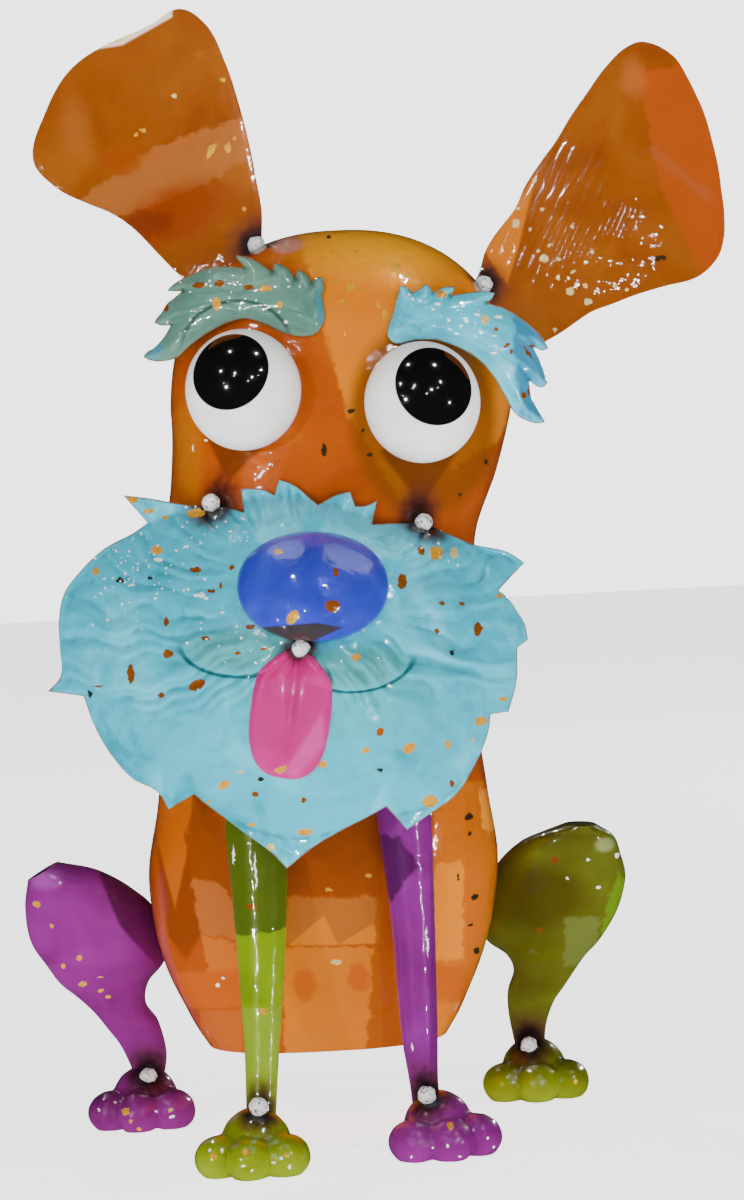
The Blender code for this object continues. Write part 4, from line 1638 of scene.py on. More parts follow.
@dataclass
class Paw:
    """An ankle dome with three knobbly toes, flat below."""

    name: str
    node: str
    slot: Slot
    place: Spot
    heading: float
    width: float = 50.0
    length: float = 38.0
    height: float = 27.0
    toe_fan: float = 52.0
    toe_shares: Place = (0.215, 0.36, 0.36)
    dome_shares: Place = (0.31, 0.40, 0.62)
    toe_tuck: float = 0.25
    toe_lift: float = 0.75
    voxel: float = 0.55
    smoothing: int = 45
    web_shares: Place = (0.42, 0.44, 0.30)

    def build(self, drawing: Drawing, finish: Enamel) -> bpy.types.Object:
        """Join the balls, soften the creases, flatten the sole and put the paw in the scene.

        Args:
            drawing: the drawing that it is placed in.
            finish: its enamel.

        Returns:
            The piece.
        """
        whole = (self.width, self.length, self.height)
        toe, dome, web = ([share * size for share, size in zip(shares, whole)]
                          for shares in (self.toe_shares, self.dome_shares, self.web_shares))
        balls = [((0.0, 0.0, self.height - dome[2]), dome), ((0.0, -0.06 * self.length, 0.9 * web[2]), web)]
        reach = 0.5 * self.length - self.toe_tuck * toe[1]
        side = (0.5 * self.width - toe[0]) / math.sin(math.radians(self.toe_fan))
        for fan in (-self.toe_fan, 0.0, self.toe_fan):
            turn = math.radians(fan)
            balls.append(((side * math.sin(turn), -reach * math.cos(turn), self.toe_lift * toe[2]), toe))
        lump = bmesh.new()
        stand = Matrix.Translation((self.place[0], self.place[1], 0.0))
        stand @= Matrix.Rotation(math.radians(self.heading), 4, "Z")
        for centre, radii in balls:
            fit = stand @ Matrix.Translation(centre) @ Matrix.Diagonal((*radii, 1.0))
            bmesh.ops.create_icosphere(lump, subdivisions=5, radius=1.0, matrix=fit)
        mesh = bpy.data.meshes.new(self.name)
        lump.to_mesh(mesh)
        lump.free()
        mesh = self.melted(mesh)
        places = []
        for spot, normal in [(vert.co.copy(), vert.normal.copy()) for vert in mesh.vertices]:
            spot += normal * 0.25 * ripple(spot.x / 5, spot.z / 5, spot.y / 5)
            places.extend(drawing.metres((spot.x, spot.y, max(spot.z, 0.0))))
        mesh.vertices.foreach_set("co", places)
        canvas = Canvas(drawing, lambda x, z: self.place[1] - 0.4 * self.length)
        paint = finish.material(self.name + "_paint", canvas)
        return dress(mesh, self.name, [self.node], paint, 70.0)

    def melted(self, mesh: bpy.types.Mesh) -> bpy.types.Mesh:
        """One smooth skin over overlapping balls.

        Args:
            mesh: the balls.

        Returns:
            The skin's mesh.
        """
        lump = bpy.data.objects.new(self.name + "_lump", mesh)
        bpy.context.scene.collection.objects.link(lump)
        remesh = lump.modifiers.new("melt", "REMESH")
        remesh.mode = "VOXEL"
        remesh.voxel_size = self.voxel
        soften = lump.modifiers.new("soften", "SMOOTH")
        soften.iterations = self.smoothing
        bpy.context.view_layer.update()
        graph = bpy.context.evaluated_depsgraph_get()
        skin = bpy.data.meshes.new_from_object(lump.evaluated_get(graph))
        bpy.data.objects.remove(lump, do_unlink=True)
        return skin


@dataclass
class Bead:
    """A lumpy weld bead."""

    node: str
    place: Place
    radius: float = 4.3

    def build(self, drawing: Drawing, material: bpy.types.Material) -> bpy.types.Object:
        """Make the bead and put it in the scene.

        Args:
            drawing: the drawing that it is placed in.
            material: the weld metal.

        Returns:
            The piece.
        """
        mesh = bpy.data.meshes.new(self.node + "_lump")
        lump = bmesh.new()
        bmesh.ops.create_icosphere(lump, subdivisions=4, radius=self.radius)
        for vert in lump.verts:
            way = vert.co.normalized()
            seed = Vector(self.place)
            swell = 0.13 * noise.noise(way * 1.6 + seed) + 0.05 * noise.noise(way * 4.0 + seed)
            vert.co = drawing.metres(Vector(self.place) + vert.co * (0.92 + swell))
        lump.to_mesh(mesh)
        lump.free()
        return dress(mesh, self.node + "_lump", [self.node], material, 70.0)


@dataclass
class Studio:
    """Floor, lights and the camera at the photograph's angle."""

    frame_px: float = 1200.0
    film: float = 36.0

    def camera(self, drawing: Drawing) -> None:
        """Place the camera.

        Args:
            drawing: the drawing that it is placed in.
        """
        data = bpy.data.cameras.new("view")
        data.sensor_width = self.film
        data.lens = self.film * drawing.sight.focal / self.frame_px
        data.clip_end = 50.0
        camera = bpy.data.objects.new("view", data)
        bpy.context.scene.collection.objects.link(camera)
        sight = drawing.sight
        camera.matrix_world = Matrix.Translation(drawing.metres(sight.eye)) @ sight.turn()
        bpy.context.scene.camera = camera

    def floor(self) -> None:
        """Lay the pale floor."""
        mesh = bpy.data.meshes.new("studio_floor")
        half = 6.0
        mesh.from_pydata([(-half, -half, 0), (half, -half, 0), (half, half, 0), (-half, half, 0)], [],
                         [(0, 1, 2, 3)])
        shader = Shader("floor_paint")
        tone = shader.mix(shader.grain(3.0, 2.0), linear((250, 250, 250)), linear((246, 246, 245)))
        shader.put(shader.surface.inputs["Base Color"], tone)
        shader.surface.inputs["Roughness"].default_value = 0.8
        shader.surface.inputs["Emission Color"].default_value = (1.0, 1.0, 1.0, 1.0)
        shader.surface.inputs["Emission Strength"].default_value = 2.2
        mesh.materials.append(shader.material)
        floor = bpy.data.objects.new("studio_floor", mesh)
        floor.visible_glossy = False
        bpy.context.scene.collection.objects.link(floor)

    def air(self) -> None:
        """Bright plain air behind the dog, that lights it only a little."""
        world = bpy.data.worlds.new("studio_air")
        world.use_nodes = True
        tree = world.node_tree
        seen = tree.nodes.new("ShaderNodeLightPath").outputs["Is Camera Ray"]
        strength = tree.nodes.new("ShaderNodeMapRange")
        tree.links.new(seen, strength.inputs["Value"])
        strength.inputs["To Min"].default_value = 0.02
        strength.inputs["To Max"].default_value = 3.2
        background = tree.nodes["Background"]
        background.inputs["Color"].default_value = (1.0, 1.0, 1.0, 1.0)
        tree.links.new(strength.outputs["Result"], background.inputs["Strength"])
        bpy.context.scene.world = world

    def bank(self, name: str, place: Sequence[float], size: Spot, watts: float) -> None:
        """Add two small lamps at opposite corners of an upright rectangle.

        Args:
            name: the lamps' name.
            place: the rectangle's middle, in metres.
            size: its width and height in metres.
            watts: the two lamps' strength together.
        """
        for k, share in enumerate((-0.5, 0.5)):
            corner = (place[0] + share * size[0], place[1], place[2] - share * size[1])
            self.lamp(f"{name}_{k}", corner, 0.028, 0.5 * watts)

    def lights(self) -> None:
        """Soft studio light from banks of small lamps, whose images are the glints on the enamel."""
        self.bank("left_bank", (-1.3, -1.5, 1.1), (0.7, 1.2), 64.0)
        self.bank("right_bank", (1.5, -1.3, 0.8), (0.6, 1.2), 34.0)
        self.bank("front_bank", (0.1, -2.2, 1.4), (1.4, 0.4), 52.0)
        self.bank("top_bank", (0.0, -0.4, 1.9), (1.2, 0.4), 44.0)
        self.bank("back_bank", (0.2, 1.6, 1.2), (1.6, 1.0), 44.0)
        for k in range(4):
            self.lamp(f"row_{k}", (-0.9 + 0.55 * k, -1.15, 0.62 + 0.26 * (k % 2)), 0.008, 0.9)

    def lamp(self, name: str, place: Sequence[float], radius: float, watts: float) -> None:
        """Add a small round lamp, whose image is a glint in the coat.

        Args:
            name: the lamp's name.
            place: where it stands, in metres.
            radius: its radius in metres.
            watts: its strength.
        """
        data = bpy.data.lights.new(name, "POINT")
        data.energy = watts
        data.shadow_soft_size = radius
        light = bpy.data.objects.new(name, data)
        light.location = place
        bpy.context.scene.collection.objects.link(light)


# What the photograph shows of each piece

EARS = (
    Ear("ear_right_sheet", "ear_right", (-70.0, 440.0), (
        (74, 70.5), (63, 68), (48, 58), (30, 50.5), (10, 48), (-10, 50.5), (-25, 57), (-36, 63), (-50, 74),
        (-64, 76), (-76, 52), (-89, 37), (-105, 29), (-128, 27), (-150, 32), (-169, 42), (-184, 50),
        (-210, 50), (-235, 53.5), (-263, 57), (-276, 62)), ribs=0.15),
    Ear("ear_left_sheet", "ear_left", (140.0, 420.0), (
        (75, 65), (62, 63.5), (51, 58), (41, 54), (20, 49), (-4, 49), (-20, 53), (-29, 56), (-38, 58),
        (-50, 57), (-65, 52), (-80, 51), (-94, 54.5), (-104, 60), (-114, 74), (-124, 91), (-131, 98),
        (-144, 86), (-149, 73), (-155, 65), (-167, 47), (-180, 40), (-199, 34), (-221, 32), (-242, 36),
        (-258, 43), (-270, 53), (-278, 61)), ribs=0.75, fan_at=(110.0, 430.0), fan_turn=-28.0),
)
BROWS = (
    Brow("brow_right_sheet", "eyebrow_right", (
        (139, 355, 1), (143, 350, 0), (150, 346, 0), (157, 339, 0), (163, 331, 0), (167, 323, 1),
        (157, 323, 0), (150, 320, 1), (152, 316, 0), (157, 310, 0), (163.5, 300, 0), (170, 295, 0),
        (178, 288, 1), (171, 288, 0), (163, 287.5, 1), (166, 283.5, 0), (173, 278, 0), (186, 271.5, 0),
        (205, 264.4, 0), (221, 263, 0), (241.6, 264.5, 1), (239, 260, 0), (234.5, 255, 0),
        (234, 251.5, 1), (244, 253.4, 0), (258.6, 260, 0), (270.6, 268.4, 1), (272.5, 261.4, 0),
        (274.4, 259.8, 1), (284, 264, 0), (294.5, 276, 1), (296, 269, 0), (297.7, 267, 1),
        (305.4, 271.5, 0), (311.5, 279, 1), (317.5, 275, 0), (322, 275, 1), (323.5, 284, 0),
        (322, 293.6, 0), (325, 316, 0), (323, 323, 0), (315, 333.7, 0), (304, 336, 0), (284, 333, 0),
        (265, 324, 0), (245, 317.7, 0), (224, 322.4, 0), (205, 332.4, 0), (186, 346, 0), (175.5, 356, 0),
        (157, 360, 0), (146, 358.5, 0)),
         (-29.3, 334.9)),
    Brow("brow_left_sheet", "eyebrow_left", (
        (387, 331, 0), (393, 312, 0), (399, 289, 0), (400, 284, 1), (404.5, 284, 0), (413, 290.4, 1),
        (417.5, 289, 0), (424.6, 282.5, 1), (428.7, 282.7, 0), (434, 290.4, 1), (446, 284.5, 0),
        (456, 284, 1), (455, 288.6, 0), (452, 293.3, 1), (469, 290.4, 0), (485, 288.2, 0), (497, 290, 1),
        (494, 296, 0), (489, 300.4, 1), (507, 306, 0), (527, 318, 0), (545, 334.6, 0), (552, 346.4, 1),
        (545, 348.5, 0), (536, 345, 1), (544, 362, 0), (550.6, 382, 1), (544, 386.5, 0), (531, 380, 1),
        (533, 395, 0), (547, 422, 1), (536.6, 423, 0), (516.6, 413.7, 0), (506, 396, 0), (495, 377, 0),
        (480, 359.4, 0), (457.6, 346.4, 0), (438.7, 340, 0), (416, 339.6, 0), (396, 343, 0), (389, 338, 0)),
         (48.4, 325.4)),
)
EYES = (
    Eye("eye_right_ball", "eye_right", (-29.3, 334.9), (-0.235, 0.39)),
    Eye("eye_left_ball", "eye_left", (48.4, 325.4), (0.26, 0.32)),
)
FRONT_LEGS = (
    FrontLeg("front_leg_right_tube", "front_leg_right", Slot.GREEN, (
        (178, -32, 14), (144, -34, 13), (124, -33.5, 12.5), (95, -33.7, 10.8), (67, -34.7, 8.8),
        (46, -35.7, 7.3), (18, -37.4, 6.2)), -84.0),
    FrontLeg("front_leg_left_tube", "front_leg_left", Slot.PURPLE, (
        (178, 30, 13), (145, 31, 12), (100, 32.5, 9.6), (50, 32.8, 7.8), (30, 33.6, 6.2), (18, 34.5, 6.2)),
        -66.0),
)
REAR_LEGS = (
    RearLeg("rear_leg_right_tube", "rear_leg_right", Slot.PURPLE, (
        ((-141, 119), (-127, 126.5)), ((-143, 108), (-112, 123)), ((-143, 98), (-102, 118)),
        ((-141, 88), (-94, 112)), ((-136, 79), (-86, 104)), ((-130, 69), (-81, 92)),
        ((-123, 62), (-82, 77)), ((-116, 54), (-90, 67)), ((-110, 45), (-92, 57)),
        ((-105, 37), (-87, 48)), ((-101, 27), (-84, 33)), ((-98, 17), (-86, 20))), 12.0, 40.0, (0.1, 0.35)),
    RearLeg("rear_leg_left_tube", "rear_leg_left", Slot.GREEN, (
        ((104, 130.5), (119, 130)), ((93, 127), (127, 124)), ((84, 123), (130, 115)),
        ((74, 114), (132, 105)), ((67, 101), (130, 94)), ((66, 86), (126, 84)), ((67, 76), (119, 73)),
        ((76, 68), (112, 65)), ((79, 60), (103, 52)), ((76, 50), (97, 43)), ((76, 38), (93, 31)),
        ((79, 19), (92, 16))), 24.0, 63.0, (0.0, 0.0), 2.0),
)
PAWS = (
    Paw("paw_front_right_lump", "paw_front_right", Slot.GREEN, (-40.0, -84.0), -8.0),
    Paw("paw_front_left_lump", "paw_front_left", Slot.PURPLE, (39.0, -66.0), 15.0),
    Paw("paw_rear_right_lump", "paw_rear_right", Slot.PURPLE, (-95.0, 40.0), -8.0),
    Paw("paw_rear_left_lump", "paw_rear_left", Slot.GREEN, (86.5, 63.0), 2.0),
)
BEAD_SPOTS = {
    "weld_ear_right": (-21.5, 0.0, 400.5),
    "weld_ear_left": (79.5, 0.0, 377.5),
    "weld_beard_right": (-46.4, 0.0, 286.4),
    "weld_beard_left": (46.4, 0.0, 272.8),
    "weld_tongue": (-9.2, 0.0, 223.3),
    "weld_paw_front_right": (-37.6, -91.5, 28.5),
    "weld_paw_front_left": (34.5, -73.0, 26.3),
    "weld_paw_rear_right": (-92.5, 32.0, 23.0),
    "weld_paw_rear_left": (84.5, 55.0, 24.3),
}


SMALL_FLECK = (2.0, 2.0)
SMALL_GLINT = (1.4, 1.4)


def flecks(foil: FoilAndGlint, *marks: tuple[float, ...]) -> tuple[Fleck, ...]:
    """Flecks of one foil, or painted glints.

    Args:
        foil: their foil, or the colour of the painted glints.
        marks: a pixel each, then two half sizes in pixels unless it is a small one, then any turn.

    Returns:
        The flecks.
    """
    small = SMALL_GLINT if foil is FoilAndGlint.GLINT else SMALL_FLECK
    return tuple(Fleck(foil, mark[:2], mark[2:4] or small, *mark[4:]) for mark in marks)


TRUNK_PATCHES = (
    # The head: darker at its right edge and mustard along its left edge; painted light on the dome right of
    # the painted shadow edge cast by the ear, and a brighter painted top; painted shadows round and under
    # the eyes; a pinkish painted reflection on the dome.
    Zone((150, 70, 2), (545, 400), (70, 120), 0.0, 0.8, 0.5),
    Panel((216, 126, 0), ((297, 228), (347, 412), (400, 500), (500, 440), (548, 300), (500, 200),
                          (340, 190)), 0.85, 3.0, True),
    Zone((214, 112, 0), (360, 300), (34, 60), -15.0, 0.6, 0.6),
    Zone((250, 168, 0), (395, 225), (100, 52), 0.0, 0.85, 0.6),
    Zone((176, 100, 0), (188, 452), (14, 52), 0.0, 0.75, 0.4),
    Zone((118, 60, 0), (424, 420), (72, 94), 0.0, 0.85, 0.12),
    Panel((92, 42, 0), ((380, 452), (422, 505), (468, 436), (440, 400)), 0.8, 3.0),
    Panel((104, 46, 0), ((203, 430), (286, 424), (228, 482)), 0.85, 3.0),
    Zone((186, 124, 110), (286, 245), (16, 9), 0.0, 0.8, 0.3),
    # The trunk: painted shadow under the beard, painted shade beside the legs, and panels and bands of
    # painted reflection in peach, orange and yellow.
    Panel((130, 54, 0), ((158, 850), (190, 840), (201, 935), (186, 960), (168, 935)), 0.9, 3.0),
    Panel((194, 92, 0), ((150, 800), (192, 790), (193, 829), (175, 907)), 0.9, 2.0),
    Panel((140, 62, 2), ((194, 790), (227, 829), (236, 902), (192, 880), (185, 840)), 0.9, 2.0, True),
    Panel((177, 94, 34), ((192, 878), (218, 883), (234, 902), (237, 938), (201, 935)), 0.9, 1.5, True),
    Panel((198, 100, 20), ((201, 935), (235, 943), (240, 971), (208, 975)), 0.9, 1.5, True),
    Panel((190, 84, 0), ((175, 972), (241, 968), (241, 1006), (185, 1006)), 0.9, 2.0),
    Panel((182, 88, 24), ((200, 1010), (242, 1010), (242, 1052), (200, 1052)), 0.9, 2.0),
    Panel((144, 64, 2), ((286, 750), (382, 750), (382, 895), (286, 895)), 0.9, 2.0, True),
    Panel((176, 98, 28), ((286, 897), (382, 897), (382, 944), (286, 944)), 0.9, 1.0, True),
    Panel((214, 120, 0), ((289, 945), (324, 915), (338, 945)), 0.9, 1.0),
    Panel((214, 120, 0), ((338, 945), (380, 919), (380, 943)), 0.9, 1.0),
    Panel((208, 114, 10), ((284, 948), (380, 946), (384, 1056), (284, 1056)), 0.9, 1.5, True),
    Zone((192, 84, 0), (305, 985), (11, 17), 0.0, 0.85, 0.25, True),
    Zone((192, 84, 0), (359, 978), (10, 15), 0.0, 0.85, 0.25, True),
    Panel((154, 72, 2), ((378, 890), (386, 902), (403, 1048), (366, 1050)), 0.85, 2.0, True),
    Panel((206, 104, 0), ((434, 780), (505, 780), (505, 1056), (434, 1056)), 0.9, 2.0),
    Panel((190, 96, 0), ((464, 790), (494, 790), (494, 1000), (464, 1000)), 0.8, 2.0, True),
    Panel((238, 136, 10), ((434, 864), (463, 858), (463, 959), (434, 962)), 0.85, 1.5, True),
    Panel((192, 86, 0), ((434, 966), (470, 966), (470, 999), (434, 999)), 0.85, 1.5, True),
    Panel((214, 112, 0), ((434, 1003), (456, 1003), (456, 1052), (434, 1052)), 0.85, 1.5),
    Panel((250, 150, 20), ((480, 790), (500, 790), (500, 829), (482, 831)), 0.9, 1.5, True),
)
TRUNK_FLECKS = (
    flecks(FoilAndGlint.GOLD, (396, 268, 5, 5), (407, 276, 5, 4), (390, 261), (390, 274), (351, 287, 5, 4),
           (341, 301, 4, 2), (378, 305, 2, 3), (385, 315, 3, 5), (331, 250), (357, 251),
           (369, 876, 4, 2), (329, 890, 3, 2))
    + flecks(FoilAndGlint.PALE, (336, 962, 6, 3))
    + flecks(FoilAndGlint.DARK, (324, 450, 2.5, 6), (363, 431), (370, 455), (351, 411, 4, 2), (329, 237),
             (486, 462), (460, 494), (469, 817, 5, 3), (470, 834), (475, 897, 4.5, 3),
             (470, 925, 3.5, 1.5), (477, 951, 3, 4), (458, 878, 1.5, 4))
    # White painted glints below the left eye and on the trunk's left side.
    + flecks(FoilAndGlint.GLINT, (193, 448, 1.4, 2.9), (206, 440, 1.1, 1.1), (261, 474, 5, 1.4, 40), (270, 464),
             (255, 479, 1.1, 1.1), (218, 985, 2.2, 2.2), (223, 978, 1.1, 1.1)))
# Painted glints strewn below the left eye.
TRUNK_GLINT_PATCHES = (GlintPatch((260, 466), (24, 16), 30.0, 0.35),)
# A greener lower face; painted shade on the lower lips of the moustache lobes, with painted shadow lines in
# the creases under them; darker under the middle of the nose.
BEARD_PATCHES = (
    Zone((70, 186, 196), (330, 700), (90, 40), 0.0, 0.6, 0.5, True),
    Zone((72, 150, 146), (240, 652), (54, 22), 0.0, 0.8, 0.45, True),
    Zone((72, 150, 146), (357, 669), (48, 20), 0.0, 0.8, 0.45, True),
    CreaseShadow((14, 70, 74), (238.5, 641), (60, 34.5), 0.0, 0.07, 0.85),
    CreaseShadow((14, 70, 74), (357, 658), (55, 32), 0.0, 0.07, 0.85),
    Zone((24, 60, 60), (298, 650), (22, 16), 0.0, 0.7, 0.7),
)
BEARD_FLECKS = (
    flecks(FoilAndGlint.GOLD, (132, 500, 6, 3), (149, 511, 5, 2.5), (165, 517, 3, 2), (196, 513, 9, 4),
           (157, 550, 6, 4), (96, 571, 3, 4), (503, 699, 4.5, 2), (481, 721, 7, 4),
           (409, 748, 6.5, 4.5, 30), (448, 744, 3, 4), (366, 750, 3.5, 2.5), (322, 764, 4.5, 3.5),
           (224, 785, 6, 4, 30), (209, 802), (430, 801, 7.5, 6), (305, 832, 7.5, 3.5), (252, 825, 4, 2),
           (499, 596, 3, 2), (356, 657, 5, 3.5), (436, 553, 6.5, 6.5))
    + flecks(FoilAndGlint.PALE, (454, 553, 4, 5), (271, 847, 4, 4), (240, 772, 4, 1.5))
    + flecks(FoilAndGlint.BROWN, (195, 570, 6, 2.5), (211, 591, 3.5, 1.5), (221, 586, 1, 3),
             (166, 622, 2.5, 4.5), (168, 654, 5.5, 4), (131, 674, 3.5, 10), (197, 685, 9, 4.5, 18),
             (161, 695, 3, 3), (98, 686, 6, 1), (232, 567, 3, 3), (205, 638, 4, 2), (250, 627, 5, 2),
             (265, 649, 4, 1), (238, 653, 3, 1.5), (402, 581, 4.5, 7), (421, 550, 3.5, 4.5),
             (442, 603, 3, 2), (462, 603, 3, 1.5), (478, 629, 4.5, 6.5), (437, 631, 2.5, 2.5),
             (304, 800, 3, 2), (255, 794, 3.5, 2), (452, 783, 2.5, 3.5))
    + flecks(FoilAndGlint.DARK, (120, 580, 4, 3), (128, 579), (150, 578), (90, 694, 2.5, 4),
             (452, 652, 2.5, 2.5), (380, 770, 3, 2), (261, 779, 3.5, 2.5))
    # White painted glints on the beard's left part and along its top.
    + flecks(FoilAndGlint.GLINT, (182, 527), (158, 560, 4.3, 1.8), (176, 551), (185, 547), (200, 595, 5.8, 2.2),
             (206, 598, 2.2, 1.4), (205, 579), (188, 589), (131, 585, 3.6, 1.4), (101, 593), (155, 598),
             (108, 620), (93, 624), (222, 613), (249, 613), (270, 628), (187, 643), (116, 551),
             (141, 534), (243, 519), (216, 517), (186, 507), (95, 558)))
# Painted glints strewn over the beard's left cheek, its top and both sides of the nose.
BEARD_GLINT_PATCHES = (
    GlintPatch((140, 575), (62, 54), 0.0, 0.22),
    GlintPatch((215, 535), (70, 34), 0.0, 0.18),
    GlintPatch((290, 492), (60, 14), 0.0, 0.18),
    GlintPatch((240, 635), (50, 30), 0.0, 0.14),
    GlintPatch((436, 556), (44, 24), 0.0, 0.14),
    GlintPatch((372, 640), (36, 22), 0.0, 0.08),
)
# A painted reflection as a dark grey band across the nose's lower part, and a deeper blue at its right end.
NOSE_PATCHES = (
    Panel((56, 50, 56), ((262, 610), (300, 618), (334, 620), (362, 617), (384, 606), (384, 660),
                         (262, 660)), 1.0, 1.0),
    Zone((44, 54, 160), (384, 640), (30, 30), 0.0, 0.7, 0.6),
)
NOSE_FLECKS = (flecks(FoilAndGlint.GOLD, (279, 551, 4, 3), (293, 616, 7, 5, 45))
               + flecks(FoilAndGlint.BROWN, (333, 605, 7, 6), (336, 571, 3, 4)))
# Darker across the tongue's top under the nose, and a painted highlight along its lower right edge.
TONGUE_PATCHES = (
    Panel((182, 18, 108), ((255, 640), (320, 640), (322, 676), (258, 680)), 0.8, 5.0),
    Panel((216, 80, 160), ((322, 712), (326, 744), (296, 776), (284, 772)), 0.5, 4.0),
)
TONGUE_FLECKS = flecks(FoilAndGlint.GOLD, (281, 769, 6, 3.5, 20))
# Painted reflections and shade on the ears. The right ear: a light painted reflection band across its
# middle, painted shade and a dark spot below the band, a white painted highlight along its turned top edge,
# and a lighter patch on its left. The left ear: golden at its lower left, darker at its right, with a
# painted highlight streak and a lighter spot near its top.
EAR_PATCHES = {
    "ear_right": (
        Panel((159, 90, 36), ((50, 180), (88, 168), (164, 140), (232, 91), (262, 150), (210, 182),
                              (140, 212), (110, 217)), 0.85, 2.0, True),
        Zone((142, 62, 0), (120, 161), (21, 14), 0.0, 0.85, 0.25, True),
        Zone((132, 48, 2), (176, 214), (56, 26), 18.0, 0.8, 0.4, True),
        Zone((110, 40, 4), (149, 223), (24, 12), 0.0, 0.8, 0.4, True),
        Panel((252, 226, 190), ((90, 50), (112, 34), (172, 8), (172, 17), (122, 45)), 0.85, 1.5),
        Zone((160, 92, 36), (76, 128), (14, 26), 0.0, 0.4, 0.8, True),
    ),
    "ear_left": (
        Panel((200, 108, 0), ((544, 161), (484, 253), (482, 261), (500, 277), (508, 291), (518, 249),
                              (536, 191)), 0.9, 2.0),
        Panel((160, 66, 4), ((637, 70), (720, 60), (740, 280), (705, 280), (659, 183)), 0.85, 2.5, True),
        Panel((152, 80, 40), ((647, 150), (655, 146), (715, 196), (708, 203)), 0.5, 4.0, True),
        Zone((176, 96, 40), (633, 78), (12, 18), 0.0, 0.5, 0.6, True),
    ),
}
EAR_FLECKS = {
    "ear_right": (flecks(FoilAndGlint.GOLD, (211, 151, 3, 9, -30), (228, 148, 3, 6), (235, 139),
                         (143, 130, 3, 2), (136, 135), (244, 209), (223, 80, 3, 2))
                  + flecks(FoilAndGlint.PALE, (118, 40, 4, 2), (174, 96, 3, 2))),
    # The left ear's pale flecks are painted glints, strewn in a band across it.
    "ear_left": (flecks(FoilAndGlint.PALE, (518, 209), (516, 223, 4, 5), (530, 229), (549, 246), (538, 251),
                        (544, 259, 4, 4), (559, 259), (573, 272), (558, 278), (570, 291, 4, 4),
                        (585, 286), (588, 302, 4, 3), (586, 263), (592, 252), (615, 286), (627, 290),
                        (555, 329), (542, 209), (534, 181), (572, 227))
                 + flecks(FoilAndGlint.DARK, (659, 258, 8, 3))),
}
BROW_PAINT = {
    "eyebrow_right": ((84, 128, 114), (104, 144, 126), (60, 106, 92)),
    "eyebrow_left": ((58, 190, 216), (110, 214, 236), (40, 160, 186)),
}
# A painted shadow line along the right brow's groove. The right brow is bluer at its lower left tip and
# along its right end; the left brow is darker blue at its outer end.
BROW_PATCHES = {
    "eyebrow_right": (
        Zone((44, 150, 190), (150, 352), (14, 10), 30.0, 0.7, 0.4),
        Zone((52, 140, 170), (321, 306), (4, 26), 0.0, 0.7, 0.4),
        CreaseShadow((26, 50, 44), (236, 348), (54, 46), 180.0, 0.06, 0.8),
    ),
    "eyebrow_left": (
        Panel((43, 124, 170), ((514, 300), (556, 340), (556, 430), (520, 425), (514, 350)),
              0.85, 3.0, True),
    ),
}
BROW_FLECKS = {
    "eyebrow_right": (
        flecks(FoilAndGlint.BROWN, (199, 285.5, 6, 3), (220, 284, 5, 3), (248.5, 288, 5, 2.5),
               (165.5, 307.6, 3, 4))
        + flecks(FoilAndGlint.GOLD, (265, 289, 6, 3), (217, 304, 4, 6.5), (280, 305.6, 3, 4))
        # White painted glints along the right brow.
        + flecks(FoilAndGlint.GLINT, (289, 287, 1.8, 1.8), (280, 312), (286, 322, 1.1, 1.1),
                 (230, 299, 1.1, 1.1), (245, 299, 1.1, 1.1), (257, 301, 1.1, 1.1), (266, 305, 1.1, 1.1),
                 (180, 283, 1.1, 1.1), (153, 317, 1.1, 1.1), (168, 322, 1.1, 1.1), (180, 334, 1.1, 1.1),
                 (191, 320, 1.1, 1.1))),
    "eyebrow_left": (
        flecks(FoilAndGlint.GOLD, (441, 294, 5, 4))
        + flecks(FoilAndGlint.PALE, (485, 320, 4, 5))
        + flecks(FoilAndGlint.BROWN, (506, 346, 4, 1.5, 35), (511, 352), (527, 352, 1.5, 8, 30), (531, 346),
                 (524, 395, 3, 3))
        + flecks(FoilAndGlint.RED, (529.6, 390, 2, 6))
        # White painted glints along the left brow.
        + flecks(FoilAndGlint.GLINT, (437.5, 304.5, 2.9, 2.2), (433, 310, 2.2, 1.4), (464, 304, 2.2, 1.4),
                 (477, 315, 2.9, 1.4), (498, 317.5, 4.3, 1.8), (494, 336, 2.2, 1.1),
                 (461, 327, 1.8, 1.1), (493, 353, 2.9, 1.1), (409, 295), (413, 299), (420, 302))),
}
# Painted glints strewn along the brows, densest on the left brow's inner edge and top.
BROW_GLINT_PATCHES = {
    "eyebrow_right": (GlintPatch((200, 300), (46, 24), 20.0, 0.12),),
    "eyebrow_left": (GlintPatch((394, 306), (7, 26), 0.0, 0.7), GlintPatch((416, 287), (18, 6), 0.0, 0.6),
                     GlintPatch((462, 312), (34, 16), -15.0, 0.25)),
}
LIMB_PAINT = {
    "front_leg_right": ((118, 146, 2), (134, 160, 14), (96, 122, 0)),
    "front_leg_left": ((120, 26, 116), (134, 36, 138), (98, 18, 92)),
    "rear_leg_right": ((122, 26, 116), (138, 36, 132), (98, 18, 90)),
    "rear_leg_left": ((82, 84, 16), (98, 108, 24), (68, 66, 4)),
    "paw_front_right": ((122, 138, 4), (136, 156, 14), (90, 98, 6)),
    "paw_front_left": ((122, 26, 116), (138, 36, 132), (90, 14, 80)),
    "paw_rear_right": ((118, 26, 108), (136, 36, 130), (84, 12, 72)),
    "paw_rear_left": ((112, 122, 8), (130, 146, 16), (80, 84, 8)),
}
